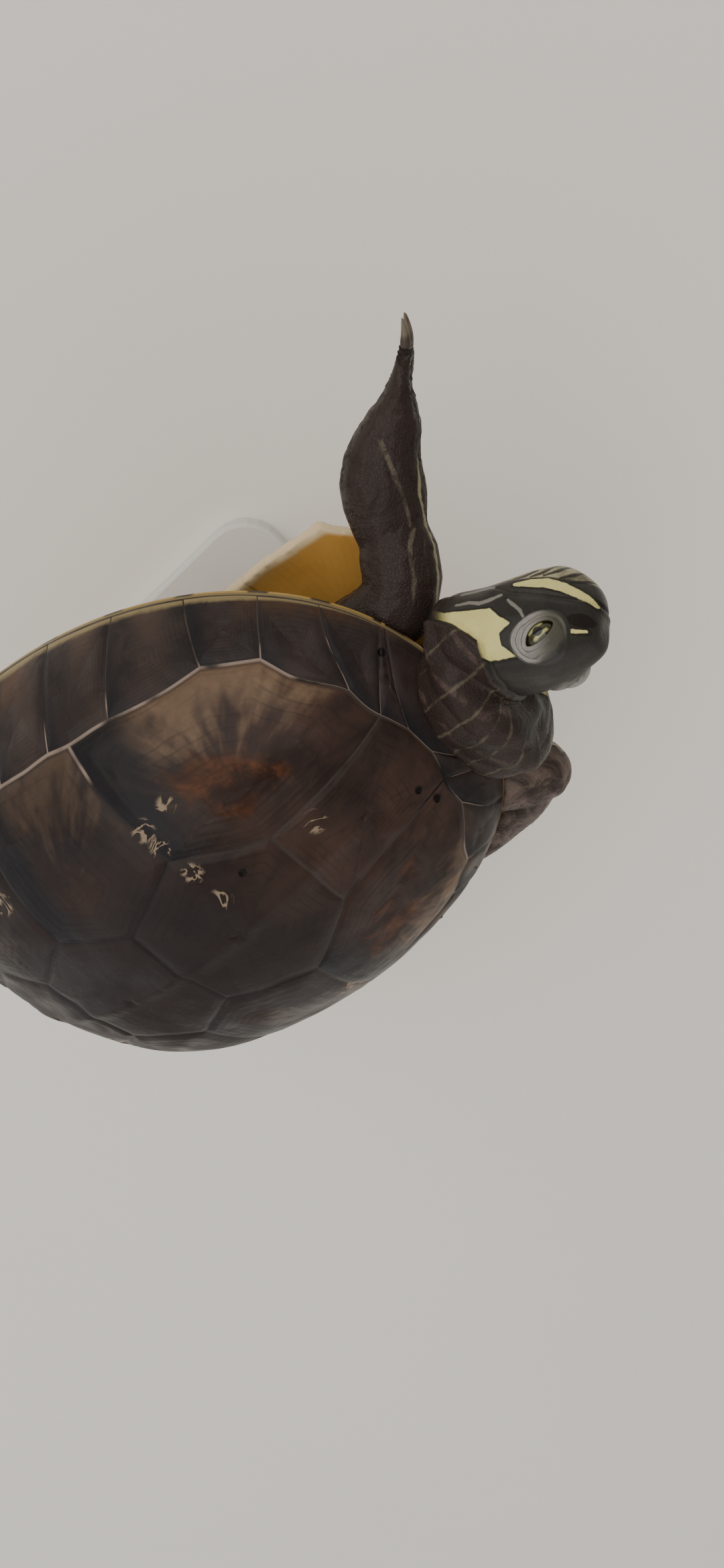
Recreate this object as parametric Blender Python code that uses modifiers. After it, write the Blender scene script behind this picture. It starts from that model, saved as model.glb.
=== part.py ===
"""Yellow-bellied slider turtle (Trachemys scripta scripta), swimming, on a display stand.

The body has its own frame: +X forward, +Y to the animal's left, +Z up, with the middle
of the carapace rim at its origin.  An empty tips that frame nose-up over the stand.
Every length of the animal is a share of CL, the straight length of its carapace.
The model's origin is the centre of the stand's underside.
"""

import math

import bmesh
import bpy
from mathutils import Euler, Matrix, Vector

# ---------------------------------------------------------------- driving dimensions
CL = 0.200                      # straight carapace length, metres
GAP = 0.0003                    # clear space between neighbouring pieces
NOSE_UP = math.radians(14.0)    # how far the swimming body is tipped up
BODY_HEIGHT = 0.100             # rim centre above the floor

HALF_WIDTH = 0.380 * CL         # widest half-width of the carapace
WIDEST_X = -0.080 * CL          # station of that width, behind the middle
DOME = 0.272 * CL               # top of the dome above the rim
SHELL_WALL = 0.024 * CL         # carapace wall, measured straight down
RIM_EDGE = 0.012 * CL           # height of the rim's outer edge

BELLY = 0.168 * CL              # plastron underside below the rim
PLASTRON_WALL = 0.018 * CL
BRIDGE_TOP = 0.0225 * CL        # cut top of the bridges to the carapace, below the rim

HEAD_LENGTH = 0.190 * CL        # back of the skull to the snout
HEAD_TURN = Euler((math.radians(30.0), math.radians(-20.0), math.radians(-17.5)))
HEAD_PLACE = (0.525, 0.040, -0.008)
EYE_RADIUS = 0.0215 * CL
EYE_PLACE = (0.132, 0.0415, 0.0175)   # in the head's frame, left eye
MOUTH_DROP = 0.026 * CL         # mouth line below the head's axis at the snout
MOUTH_SLOPE = math.radians(4.0)
JAW_HINGE = 0.072 * CL          # back end of the lower jaw, along the head

BASE_SIZE = (0.132, 0.096, 0.009)
BASE_CORNER = 0.016
BASE_EDGE = 0.0012
ROD_RADIUS = 0.004
ROD_STATIONS = (("stand_rod_front", 0.028), ("stand_rod_rear", -0.032))

AROUND = 40                     # outline points of the carapace
LIMB_AROUND = 14                # points round a limb's section


# ---------------------------------------------------------------- scene and materials
for old in list(bpy.data.objects):
    bpy.data.objects.remove(old, do_unlink=True)

PARTS = bpy.data.collections.new("yellow_bellied_slider")
bpy.context.scene.collection.children.link(PARTS)

BODY = bpy.data.objects.new("body_pose", None)
BODY.location = (0.0, 0.0, BODY_HEIGHT)
BODY.rotation_euler = (0.0, -NOSE_UP, 0.0)
PARTS.objects.link(BODY)


def material(name, colour, roughness, metallic=0.0):
    """A plain Principled material."""
    made = bpy.data.materials.new(name)
    made.use_nodes = True
    shader = made.node_tree.nodes["Principled BSDF"]
    shader.inputs["Base Color"].default_value = (*colour, 1.0)
    shader.inputs["Roughness"].default_value = roughness
    shader.inputs["Metallic"].default_value = metallic
    return made


SHELL = material("shell_horn", (0.028, 0.017, 0.012), 0.28)
BELLY_HORN = material("plastron_horn", (0.45, 0.24, 0.07), 0.35)
SKIN = material("skin", (0.030, 0.027, 0.022), 0.45)
HEAD_SKIN = material("head_skin", (0.040, 0.036, 0.026), 0.40)
EYE = material("eye", (0.30, 0.30, 0.08), 0.10)
CLAW = material("claw_horn", (0.10, 0.08, 0.06), 0.35)
BASE = material("stand_base", (0.62, 0.60, 0.56), 0.55)
STEEL = material("stand_steel", (0.55, 0.55, 0.55), 0.30, 1.0)


def add(name, mesh, finish, parent=BODY, smooth=True):
    """Put a mesh in the model under its node's name."""
    piece = bpy.data.objects.new(name, mesh)
    mesh.materials.append(finish)
    if smooth:
        mesh.shade_smooth()
        mesh.set_sharp_from_angle(angle=math.radians(50))
    piece.parent = parent
    PARTS.objects.link(piece)
    return piece


def mesh_of(bm, name):
    """Close a bmesh into a mesh whose faces point out."""
    bmesh.ops.recalc_face_normals(bm, faces=bm.faces)
    mesh = bpy.data.meshes.new(name)
    bm.to_mesh(mesh)
    bm.free()
    return mesh


# ---------------------------------------------------------------- general shapes
def smooth_rows(rows, steps):
    """Catmull-Rom rows of numbers through the given rows, steps to each span."""
    rows = [list(row) for row in rows]
    first = [2 * a - b for a, b in zip(rows[0], rows[1])]
    last = [2 * a - b for a, b in zip(rows[-1], rows[-2])]
    padded = [first] + rows + [last]
    fine = []
    for i in range(1, len(padded) - 2):
        for k in range(steps):
            t = k / steps
            fine.append([
                0.5 * (2 * b + (c - a) * t + (2 * a - 5 * b + 4 * c - d) * t ** 2
                       + (3 * b - a - 3 * c + d) * t ** 3)
                for a, b, c, d in zip(*padded[i - 1:i + 3])])
    fine.append(rows[-1])
    return fine


def lofted(sections, name):
    """A closed skin over a row of point loops of one count, capped at both ends."""
    bm = bmesh.new()
    loops = [[bm.verts.new(p) for p in section] for section in sections]
    count = len(loops[0])
    for low, high in zip(loops, loops[1:]):
        for i in range(count):
            j = (i + 1) % count
            bm.faces.new((low[i], low[j], high[j], high[i]))
    bm.faces.new(loops[0][::-1])
    bm.faces.new(loops[-1])
    return mesh_of(bm, name)


def oval(centre, side, up, half_side, half_up, count=LIMB_AROUND, power=2.2):
    """One rounded section with its own half-widths along side and up."""
    points = []
    for i in range(count):
        a = 2 * math.pi * i / count
        c, s = math.cos(a), math.sin(a)
        across = math.copysign(abs(c) ** (2 / power), c) * half_side
        rise = math.copysign(abs(s) ** (2 / power), s) * half_up
        points.append(centre + side * across + up * rise)
    return points


def limb_frames(rows, steps):
    """Frames along a limb: each row is x, y, z, half-width, half-thickness, width axis."""
    fine = smooth_rows(rows, steps)
    centres = [Vector(row[:3]) * CL for row in fine]
    frames = []
    for i, row in enumerate(fine):
        before = centres[max(i - 1, 0)]
        after = centres[min(i + 1, len(centres) - 1)]
        along = (after - before).normalized()
        side = Vector(row[5:8])
        side = (side - along * side.dot(along)).normalized()
        up = along.cross(side)
        frames.append((centres[i], along, side, up, row[3] * CL, row[4] * CL))
    return frames


def limb_piece(name, frames, finish, pull_end=0.0, round_end=False):
    """A length of limb over its frames, with a flat or a rounded far end."""
    sections = [oval(centre, side, up, half_side, half_up)
                for centre, along, side, up, half_side, half_up in frames]
    centre, along, side, up, half_side, half_up = frames[-1]
    if round_end:
        for angle in (35, 62, 80):
            rise = math.sin(math.radians(angle))
            girth = math.cos(math.radians(angle))
            sections.append(oval(centre + along * half_up * rise, side, up,
                                 half_side * girth, half_up * girth))
    else:
        sections[-1] = oval(centre - along * pull_end, side, up, half_side, half_up)
    return add(name, lofted(sections, name), finish)


def largest_body(bm):
    """Delete every loose bit but the one with the most faces."""
    left = set(bm.faces)
    bodies = []
    while left:
        seed = left.pop()
        body = {seed}
        front = [seed]
        while front:
            for edge in front.pop().edges:
                for face in edge.link_faces:
                    if face in left:
                        left.discard(face)
                        body.add(face)
                        front.append(face)
        bodies.append(body)
    bodies.sort(key=len, reverse=True)
    loose = [face for body in bodies[1:] for face in body]
    bmesh.ops.delete(bm, geom=loose, context="FACES")


def applied(piece):
    """Turn a piece with modifiers into the plain mesh that they make."""
    bpy.context.view_layer.update()
    graph = bpy.context.evaluated_depsgraph_get()
    made = bpy.data.meshes.new_from_object(piece.evaluated_get(graph))
    bm = bmesh.new()
    bm.from_mesh(made)
    bmesh.ops.remove_doubles(bm, verts=bm.verts, dist=0.00002)
    largest_body(bm)
    bm.to_mesh(made)
    bm.free()
    piece.modifiers.clear()
    piece.data = made


def cutter_from(piece, grow=GAP):
    """A copy of a piece that is larger by the gap, for cutting its neighbour."""
    bm = bmesh.new()
    bm.from_mesh(piece.data)
    bm.normal_update()
    moved = [(v, v.co + v.normal * v.calc_shell_factor() * grow) for v in bm.verts]
    for v, place in moved:
        v.co = place
    mesh = bpy.data.meshes.new(piece.name + "_cutter")
    bm.to_mesh(mesh)
    bm.free()
    cutter = bpy.data.objects.new(mesh.name, mesh)
    cutter.parent = piece.parent
    PARTS.objects.link(cutter)
    return cutter


def boolean(piece, cutter, operation):
    """Apply one exact Boolean and remove its cutter."""
    cut = piece.modifiers.new(operation.lower(), "BOOLEAN")
    cut.operation = operation
    cut.solver = "EXACT"
    cut.object = cutter
    applied(piece)
    bpy.data.objects.remove(cutter, do_unlink=True)


def carve(piece, neighbours):
    """Cut the neighbours out of a piece, which leaves the gap between them."""
    for neighbour in neighbours:
        boolean(piece, cutter_from(neighbour), "DIFFERENCE")


# ---------------------------------------------------------------- shell
def half_width(x):
    """Half the carapace's width at station x."""
    ahead = x > WIDEST_X
    reach = (CL / 2 - WIDEST_X) if ahead else (WIDEST_X + CL / 2)
    s = min(abs(x - WIDEST_X) / reach, 1.0)
    bulge, power = (2.2, 0.45) if ahead else (2.4, 0.60)
    return HALF_WIDTH * (1 - s ** bulge) ** power


def dome_height(x, y):
    """Top of the carapace above the rim at a place inside the outline."""
    s = min(abs(x) / (CL / 2), 1.0)
    width = half_width(x)
    q = min(abs(y) / width, 1.0) if width > 1e-6 else 1.0
    return DOME * (1 - s ** 2.2) ** 0.85 * (1 - q ** 2.4) ** 0.78


def rim_point(k, count=AROUND):
    """Point k of the carapace outline, counted from the nose round by the left."""
    a = 2 * math.pi * k / count
    reach = (CL / 2 - WIDEST_X) if math.cos(a) > 0 else (WIDEST_X + CL / 2)
    x = WIDEST_X + reach * math.cos(a)
    return x, math.copysign(half_width(x), math.sin(a)) if abs(math.sin(a)) > 1e-9 else 0.0


def ring(share, height):
    """A loop at a share of the way from the dome's centre to the rim."""
    points = []
    for k in range(AROUND):
        rx, ry = rim_point(k)
        x = WIDEST_X + (rx - WIDEST_X) * share
        y = ry * share
        points.append(Vector((x, y, height(x, y))))
    return points


def lens(rings, top, bottom, name):
    """A closed body over loops that run from the top centre to the bottom centre."""
    bm = bmesh.new()
    loops = [[bm.verts.new(p) for p in loop] for loop in rings]
    for high, low in zip(loops, loops[1:]):
        for i in range(AROUND):
            j = (i + 1) % AROUND
            bm.faces.new((high[i], low[i], low[j], high[j]))
    for loop, centre in ((loops[0], top), (loops[-1], bottom)):
        hub = bm.verts.new((WIDEST_X, 0.0, centre))
        for i in range(AROUND):
            bm.faces.new((loop[i], loop[(i + 1) % AROUND], hub))
    return mesh_of(bm, name)


INNER_SHARES = (0.30, 0.52, 0.70, 0.82)


def inner_height(x, y):
    """Underside of the carapace wall."""
    return dome_height(x, y) - SHELL_WALL


def make_carapace():
    """The domed upper shell: outside, rim, underside of the rim and inside."""
    rings = [ring(share, dome_height)
             for share in (0.16, 0.32, 0.47, 0.60, 0.72, 0.82, 0.90, 0.96, 1.0)]
    rings.append(ring(1.0, lambda x, y: -RIM_EDGE))
    rings.append(ring(0.955, lambda x, y: -RIM_EDGE * 1.6))
    rings.append(ring(0.905, lambda x, y: -RIM_EDGE * 1.5))
    rings.append(ring(0.868, lambda x, y: RIM_EDGE))
    rings += [ring(share, inner_height) for share in reversed(INNER_SHARES)]
    top = dome_height(WIDEST_X, 0.0)
    mesh = lens(rings, top, top - SHELL_WALL, "carapace")
    return add("carapace", mesh, SHELL)


# station, half-width, how far the side of the plate is a bridge (0 none, 1 whole)
PLASTRON_STATIONS = (
    (0.486, 0.106, 0), (0.474, 0.182, 0), (0.440, 0.226, 0), (0.350, 0.238, 0),
    (0.225, 0.240, 0), (0.195, 0.250, 1), (0.100, 0.258, 1), (0.000, 0.260, 1),
    (-0.100, 0.256, 1), (-0.190, 0.246, 1), (-0.222, 0.232, 0), (-0.330, 0.222, 0),
    (-0.420, 0.170, 0), (-0.455, 0.115, 0))

PLASTRON_FLAT_ENDS = (-0.44 * CL, 0.41 * CL)


def plastron_row(x, half, bridge):
    """One row of the plate, from the right side's top to the left side's top."""
    half *= CL
    x *= CL
    row = []
    for v in (0.0, 0.36, 0.70):
        row.append((half * v, -BELLY))
    if bridge:
        top = 0.93 * half_width(x)
        for share, rise in ((0.0, 0.03), (0.30, 0.22), (0.62, 0.56), (1.0, 1.12)):
            y = half * 0.92 + (top - half * 0.92) * share
            row.append((y, -BELLY + (BELLY - BRIDGE_TOP) * rise))
    else:
        # the plate's long sides turn up a little, and its two ends lie flat
        lift = CL if PLASTRON_FLAT_ENDS[0] < x < PLASTRON_FLAT_ENDS[1] else 0.0
        for share, rise in ((0.80, 0.0), (0.88, 0.003), (0.95, 0.008), (1.0, 0.014)):
            row.append((half * share, -BELLY + rise * lift))
    right = [Vector((x, -y, z)) for y, z in reversed(row[1:])]
    left = [Vector((x, y, z)) for y, z in row]
    return right + left


def make_plastron():
    """The lower shell: a long plate, notched behind, with a bridge up each side."""
    bm = bmesh.new()
    rows = []
    for x, half, bridge in PLASTRON_STATIONS:
        points = plastron_row(x, half, bridge)
        for p in points:
            if x < -0.40:
                # the rear edge is notched on the midline
                p.x += 0.020 * CL * (1 - min(abs(p.y) / (0.10 * CL), 1.0))
        rows.append([bm.verts.new(p) for p in points])
    for ahead, behind in zip(rows, rows[1:]):
        for i in range(len(ahead) - 1):
            bm.faces.new((ahead[i], behind[i], behind[i + 1], ahead[i + 1]))
    for face in bm.faces:
        face.normal_update()
        if face.normal.z > 0:
            face.normal_flip()
    mesh = bpy.data.meshes.new("plastron")
    bm.to_mesh(mesh)
    bm.free()
    piece = add("plastron", mesh, BELLY_HORN)
    wall = piece.modifiers.new("wall", "SOLIDIFY")
    wall.thickness = PLASTRON_WALL
    wall.offset = -1.0
    bpy.ops.mesh.primitive_cube_add(size=1.0, location=(0.0, 0.0, 0.5 * CL - BRIDGE_TOP))
    lid = bpy.context.active_object
    lid.parent = BODY
    lid.dimensions = (2 * CL, 2 * CL, CL)
    boolean(piece, lid, "DIFFERENCE")
    return piece


def make_trunk():
    """Flesh inside the shell, seen in the pockets of the legs, neck and tail."""
    floor = -BELLY + PLASTRON_WALL + GAP

    def under_shell(x, y):
        return inner_height(x, y) - GAP

    rings = [ring(share, under_shell) for share in INNER_SHARES]
    rings.append(ring(0.835, lambda x, y: 0.0))
    rings.append(ring(0.790, lambda x, y: -0.050 * CL))
    rings.append(ring(0.640, lambda x, y: -0.105 * CL))
    rings.append(ring(0.530, lambda x, y: floor))
    rings.append(ring(0.300, lambda x, y: floor))
    mesh = lens(rings, under_shell(WIDEST_X, 0.0), floor, "trunk")
    return add("trunk", mesh, SKIN)


# ---------------------------------------------------------------- head and neck
HEAD_MATRIX = Matrix.LocRotScale(Vector(HEAD_PLACE) * CL, HEAD_TURN, None)

# along the head, half-width, crown height, throat depth, as shares of its length
HEAD_SECTIONS = (
    (0.00, 0.350, 0.272, 0.290), (0.16, 0.382, 0.294, 0.298), (0.32, 0.392, 0.300, 0.312),
    (0.47, 0.370, 0.293, 0.368), (0.60, 0.328, 0.277, 0.412), (0.70, 0.284, 0.250, 0.430),
    (0.79, 0.238, 0.204, 0.402), (0.865, 0.196, 0.158, 0.350), (0.925, 0.152, 0.118, 0.280),
    (0.958, 0.108, 0.085, 0.210), (0.973, 0.060, 0.046, 0.150))
HEAD_AROUND = 20


def head_section(row):
    """One section of the head in its own frame."""
    along, half, crown, throat = (value * HEAD_LENGTH for value in row)
    points = []
    for i in range(HEAD_AROUND):
        a = 2 * math.pi * i / HEAD_AROUND
        c, s = math.cos(a), math.sin(a)
        square = 0.80 if s > 0 else 0.86
        y = math.copysign(abs(c) ** square, c) * half
        z = math.copysign(abs(s) ** square, s) * (crown if s > 0 else throat)
        points.append(HEAD_MATRIX @ Vector((along, y, z)))
    return points


def jaw_block(name, grow):
    """The space of the lower jaw: under the mouth line and ahead of the jaw's hinge."""
    length = HEAD_LENGTH * 1.2
    depth = HEAD_LENGTH
    bpy.ops.mesh.primitive_cube_add(size=1.0)
    block = bpy.context.active_object
    block.name = name
    size = Vector((length, 2 * HEAD_LENGTH, depth))
    place = Vector((JAW_HINGE - grow + length / 2, 0.0, -MOUTH_DROP + grow - depth / 2))
    tip = Matrix.Translation((HEAD_LENGTH, 0.0, 0.0)) @ Matrix.Rotation(-MOUTH_SLOPE, 4, "Y")
    shape = tip @ Matrix.Translation(place - Vector((HEAD_LENGTH, 0.0, 0.0)))
    block.data.transform(HEAD_MATRIX @ shape @ Matrix.Diagonal((*size, 1.0)))
    block.parent = BODY
    return block


def make_head():
    """Skull and upper jaw, the lower jaw, and the two eyes."""
    sections = [head_section(row) for row in HEAD_SECTIONS]
    head = add("head", lofted(sections, "head"), HEAD_SKIN)
    jaw = add("jaw", head.data.copy(), HEAD_SKIN)
    boolean(jaw, jaw_block("jaw_keep", 0.0), "INTERSECT")
    boolean(head, jaw_block("jaw_clear", GAP), "DIFFERENCE")
    eyes = []
    for name, side in (("eye_left", 1), ("eye_right", -1)):
        x, y, z = (value * CL for value in EYE_PLACE)
        bm = bmesh.new()
        bmesh.ops.create_uvsphere(bm, u_segments=14, v_segments=8, radius=EYE_RADIUS)
        bmesh.ops.transform(bm, matrix=HEAD_MATRIX @ Matrix.Translation((x, side * y, z)),
                            verts=bm.verts)
        eyes.append(add(name, mesh_of(bm, name), EYE))
    carve(head, eyes)
    return head, jaw, eyes


NECK_ROWS = (
    (0.345, -0.055, -0.050, 0.082, 0.062, 0.0, 1.0, 0.0),
    (0.425, -0.054, -0.028, 0.107, 0.070, 0.0, 1.0, 0.1),
    (0.522, -0.050, 0.002, 0.116, 0.075, -0.3, 1.0, 0.10))
NECK_END = (0.30, -0.16, 0.12)   # in the head's frame, as shares of its length
NECK_SHOULDER = (0.14, 0.34, 0.58, 0.80)
SHOULDER_POWER = 0.70


def make_neck():
    """The neck from the trunk, in a gentle bend, to a fold of skin round the skull."""
    frames = limb_frames(NECK_ROWS, 2)
    sections = [oval(c, side, up, hw, hu, HEAD_AROUND) for c, _, side, up, hw, hu in frames]
    # the skin closes in on a small loop inside the skull, on its right
    skull = head_section(HEAD_SECTIONS[1])
    hub = sum(skull, Vector()) / HEAD_AROUND
    goal = HEAD_MATRIX @ (Vector(NECK_END) * HEAD_LENGTH)
    end = [goal + (p - hub) * 0.60 for p in skull]
    # start each loop where the head's loop starts, so that the skin does not twist
    start = min(range(HEAD_AROUND), key=lambda k: (sections[-1][k] - end[0]).length)
    sections = [loop[start:] + loop[:start] for loop in sections]
    last = sections[-1]
    middle = sum(last, Vector()) / HEAD_AROUND
    for share in NECK_SHOULDER:
        # a full, round shoulder: first the skin goes forward, then it closes in
        forward = math.sin(share * math.pi / 2) ** SHOULDER_POWER
        inward = 1 - math.cos(share * math.pi / 2) ** SHOULDER_POWER
        centre = middle.lerp(goal, forward)
        sections.append([centre + (a - middle).lerp(b - goal, inward)
                         for a, b in zip(last, end)])
    return add("neck", lofted(sections + [end], "neck"), SKIN)


# ---------------------------------------------------------------- limbs
# rows: x, y, z, half-width, half-thickness (shares of CL), then the width axis;
# each lower limb starts inside the rounded end of its upper limb
FORE_LEFT_UPPER = (
    (0.330, 0.122, -0.062, 0.050, 0.048, 0.2, 0.1, 1.0),
    (0.415, 0.106, -0.058, 0.049, 0.049, 0.2, 0.1, 1.0),
    (0.493, 0.109, -0.062, 0.047, 0.050, 0.3, 0.3, 0.9),
    (0.524, 0.153, -0.084, 0.046, 0.049, 0.35, 0.33, 0.87))
FORE_LEFT_LOWER = (
    (0.518, 0.143, -0.080, 0.034, 0.035, 0.35, 0.33, 0.87),
    (0.544, 0.205, -0.107, 0.046, 0.051, 0.35, 0.33, 0.87),
    (0.567, 0.239, -0.125, 0.044, 0.047, 0.35, 0.33, 0.87),
    (0.604, 0.262, -0.142, 0.039, 0.032, 0.35, 0.33, 0.87))
FORE_RIGHT_UPPER = (
    (0.330, -0.140, -0.062, 0.052, 0.046, 0.2, 0.3, 1.0),
    (0.400, -0.186, -0.058, 0.052, 0.048, 0.2, 0.3, 1.0),
    (0.448, -0.208, -0.056, 0.053, 0.050, 0.2, 0.3, 1.0),
    (0.478, -0.226, -0.060, 0.049, 0.045, 0.2, 0.3, 1.0))
FORE_RIGHT_LOWER = (
    (0.478, -0.236, -0.070, 0.032, 0.030, 0.2, 0.3, 1.0),
    (0.434, -0.264, -0.078, 0.046, 0.038, 0.2, 0.3, 1.0),
    (0.376, -0.296, -0.087, 0.042, 0.032, 0.2, 0.3, 1.0),
    (0.322, -0.323, -0.096, 0.038, 0.025, 0.2, 0.3, 1.0))
HIND_LEFT_UPPER = (
    (-0.270, 0.150, -0.066, 0.066, 0.046, 1.0, 0.2, 0.1),
    (-0.330, 0.205, -0.072, 0.064, 0.045, 1.0, 0.6, 0.0),
    (-0.395, 0.262, -0.082, 0.056, 0.040, 0.9, 0.8, 0.0),
    (-0.435, 0.296, -0.090, 0.050, 0.037, 0.8, 0.9, 0.1))
HIND_LEFT_LOWER = (
    (-0.425, 0.290, -0.090, 0.044, 0.033, 0.7, 0.9, 0.1),
    (-0.470, 0.314, -0.098, 0.045, 0.032, 0.6, 1.0, 0.1),
    (-0.515, 0.330, -0.106, 0.037, 0.026, 0.4, 1.0, 0.1),
    (-0.555, 0.342, -0.112, 0.034, 0.021, 0.3, 1.0, 0.2))
HIND_RIGHT_UPPER = (
    (-0.270, -0.150, -0.066, 0.066, 0.046, 1.0, -0.2, 0.1),
    (-0.296, -0.225, -0.074, 0.064, 0.045, 1.0, -0.1, 0.0),
    (-0.304, -0.300, -0.086, 0.056, 0.040, 1.0, 0.0, 0.1),
    (-0.310, -0.345, -0.096, 0.050, 0.037, 1.0, 0.0, 0.1))
HIND_RIGHT_LOWER = (
    (-0.312, -0.330, -0.096, 0.040, 0.032, 0.8, -0.6, 0.1),
    (-0.345, -0.368, -0.112, 0.044, 0.032, 0.7, -0.8, 0.1),
    (-0.388, -0.392, -0.126, 0.037, 0.026, 0.5, -0.9, 0.1),
    (-0.425, -0.410, -0.138, 0.034, 0.021, 0.4, -1.0, 0.2))
LIMB_STEPS = 2

# name, upper rows, lower rows, digits, foot length, half-spread, bend of the tip
LIMBS = (
    ("foreleg_left", FORE_LEFT_UPPER, FORE_LEFT_LOWER, 5, 0.078, 0.044,
     (-0.10, 0.17, 0.05)),
    ("foreleg_right", FORE_RIGHT_UPPER, FORE_RIGHT_LOWER, 5, 0.084, 0.044,
     (0.0, 0.04, -0.10)),
    ("hindleg_left", HIND_LEFT_UPPER, HIND_LEFT_LOWER, 4, 0.128, 0.066,
     (-0.15, -0.10, -0.05)),
    ("hindleg_right", HIND_RIGHT_UPPER, HIND_RIGHT_LOWER, 4, 0.128, 0.066,
     (-0.40, 0.10, -0.05)))
WEB = 0.0040 * CL               # half-thickness of the web between two digits
DIGIT = 0.0120 * CL             # half-thickness of a digit
TIP_SHARE = 0.84                # how far the web reaches along the longest digit
CLAW_LENGTH = 0.028 * CL
CLAW_ROOT = 0.0065 * CL         # half-thickness of a claw where it leaves the digit
CLAW_DROP = 0.30                # how far its point curves down, for its length


def foot_shape(frame, digits, length, spread, bend):
    """Loops of a webbed foot that fans out from the limb's end, and its digit tips."""
    centre, along, side, up, half_side, half_up = frame
    length *= CL
    spread *= CL
    lanes = 2 * digits + 1
    sweep = (along + Vector(bend)).normalized()
    sections = []
    tips = []
    for u in (0.0, 0.14, 0.32, 0.52, 0.72, 0.88, 1.0):
        heading = along.lerp(sweep, min(1.0, u * 2)).normalized()
        half = half_side + (spread - half_side) * min(1.0, u * 1.25) ** 1.3
        top = []
        low = []
        for lane in range(lanes):
            v = 2 * lane / (lanes - 1) - 1
            on_digit = lane % 2 == 1
            reach = 1.0 - 0.20 * abs(v) ** 2
            reach *= 1.0 if on_digit else TIP_SHARE
            if lane in (0, lanes - 1):
                reach *= 0.80
            place = centre + heading * length * u * reach + side * half * v
            round_limb = half_up * math.sqrt(max(1 - (0.94 * v) ** 2, 0.02))
            flat = DIGIT * (1 - 0.35 * u) if on_digit else WEB
            thick = round_limb + (flat - round_limb) * min(1.0, u * 1.6)
            top.append(place + up * thick)
            low.append(place - up * thick)
            if u == 1.0 and on_digit:
                tips.append((place, (heading + side * v * 0.45).normalized(), side, up))
        sections.append(top + low[::-1])
    return sections, tips


def claw(name, tip):
    """A curved, pointed claw that stands off the digit's tip by the gap."""
    place, heading, side, up = tip
    sections = []
    for share, girth in ((0.0, 1.0), (0.35, 0.85), (0.7, 0.52), (1.0, 0.14)):
        centre = place + heading * (GAP * 1.5 + CLAW_LENGTH * share)
        centre -= up * CLAW_LENGTH * CLAW_DROP * share ** 2
        cross = heading.cross(up).normalized()
        rise = cross.cross(heading).normalized()
        half = CLAW_ROOT * girth
        sections.append(oval(centre, cross, rise, half, half * 1.25, 6))
    return add(name, lofted(sections, name), CLAW)


def make_limb(name, upper_rows, lower_rows, digits, length, spread, bend):
    """Upper limb, lower limb, webbed foot and claws."""
    upper = limb_piece(name + "_upper", limb_frames(upper_rows, LIMB_STEPS), SKIN,
                       round_end=True)
    frames = limb_frames(lower_rows, LIMB_STEPS)
    lower = limb_piece(name + "_lower", frames, SKIN, pull_end=GAP / 2)
    sections, tips = foot_shape(frames[-1], digits, length, spread, bend)
    shift = frames[-1][1] * GAP / 2
    sections[0] = [p + shift for p in sections[0]]
    add(name + "_foot", lofted(sections, name + "_foot"), SKIN)
    for i, tip in enumerate(tips):
        claw(f"{name}_claw_{i + 1}", tip)
    return upper, lower


TAIL_ROWS = (
    (-0.345, 0.000, -0.068, 0.052, 0.042, 0.0, 1.0, 0.0),
    (-0.430, -0.006, -0.076, 0.038, 0.033, 0.0, 1.0, 0.0),
    (-0.500, -0.016, -0.084, 0.024, 0.023, 0.0, 1.0, 0.0),
    (-0.570, -0.032, -0.090, 0.014, 0.014, 0.0, 1.0, 0.0),
    (-0.640, -0.055, -0.092, 0.005, 0.005, 0.0, 1.0, 0.0))


# ---------------------------------------------------------------- stand
def make_stand():
    """A flat base with rounded corners, and two rods up to the plastron."""
    length, width, height = BASE_SIZE
    bm = bmesh.new()
    bmesh.ops.create_cube(bm, size=1.0)
    bmesh.ops.scale(bm, vec=BASE_SIZE, verts=bm.verts)
    bmesh.ops.translate(bm, vec=(0.0, 0.0, height / 2), verts=bm.verts)
    base = add("stand_base", mesh_of(bm, "stand_base"), BASE, None)
    corners = base.modifiers.new("corners", "BEVEL")
    corners.width = BASE_CORNER
    corners.segments = 6
    corners.limit_method = "WEIGHT"
    weights = base.data.attributes.new("bevel_weight_edge", "FLOAT", "EDGE")
    for edge in base.data.edges:
        a, b = (base.data.vertices[i].co for i in edge.vertices)
        upright = abs(a.z - b.z) > height / 2
        weights.data[edge.index].value = 1.0 if upright else 0.0
    edges = base.modifiers.new("edges", "BEVEL")
    edges.width = BASE_EDGE
    edges.segments = 2
    edges.limit_method = "ANGLE"
    edges.angle_limit = math.radians(60)
    for name, x in ROD_STATIONS:
        bottom = height + GAP
        bpy.ops.mesh.primitive_cylinder_add(vertices=24, radius=ROD_RADIUS, depth=1.0)
        rod = bpy.context.active_object
        rod.name = name
        rod.data.materials.append(STEEL)
        for v in rod.data.vertices:
            v.co.x += x
            if v.co.z > 0:
                # the top is cut to the slope of the plastron
                v.co.z = plastron_plane(v.co.x) - GAP / math.cos(NOSE_UP)
            else:
                v.co.z = bottom
        rod.data.shade_smooth()
        rod.data.set_sharp_from_angle(angle=math.radians(40))
        bpy.context.collection.objects.unlink(rod)
        PARTS.objects.link(rod)


def plastron_plane(x):
    """Height above the floor of the plastron's underside at world station x."""
    return BODY_HEIGHT + x * math.tan(NOSE_UP) - BELLY / math.cos(NOSE_UP)


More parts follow.
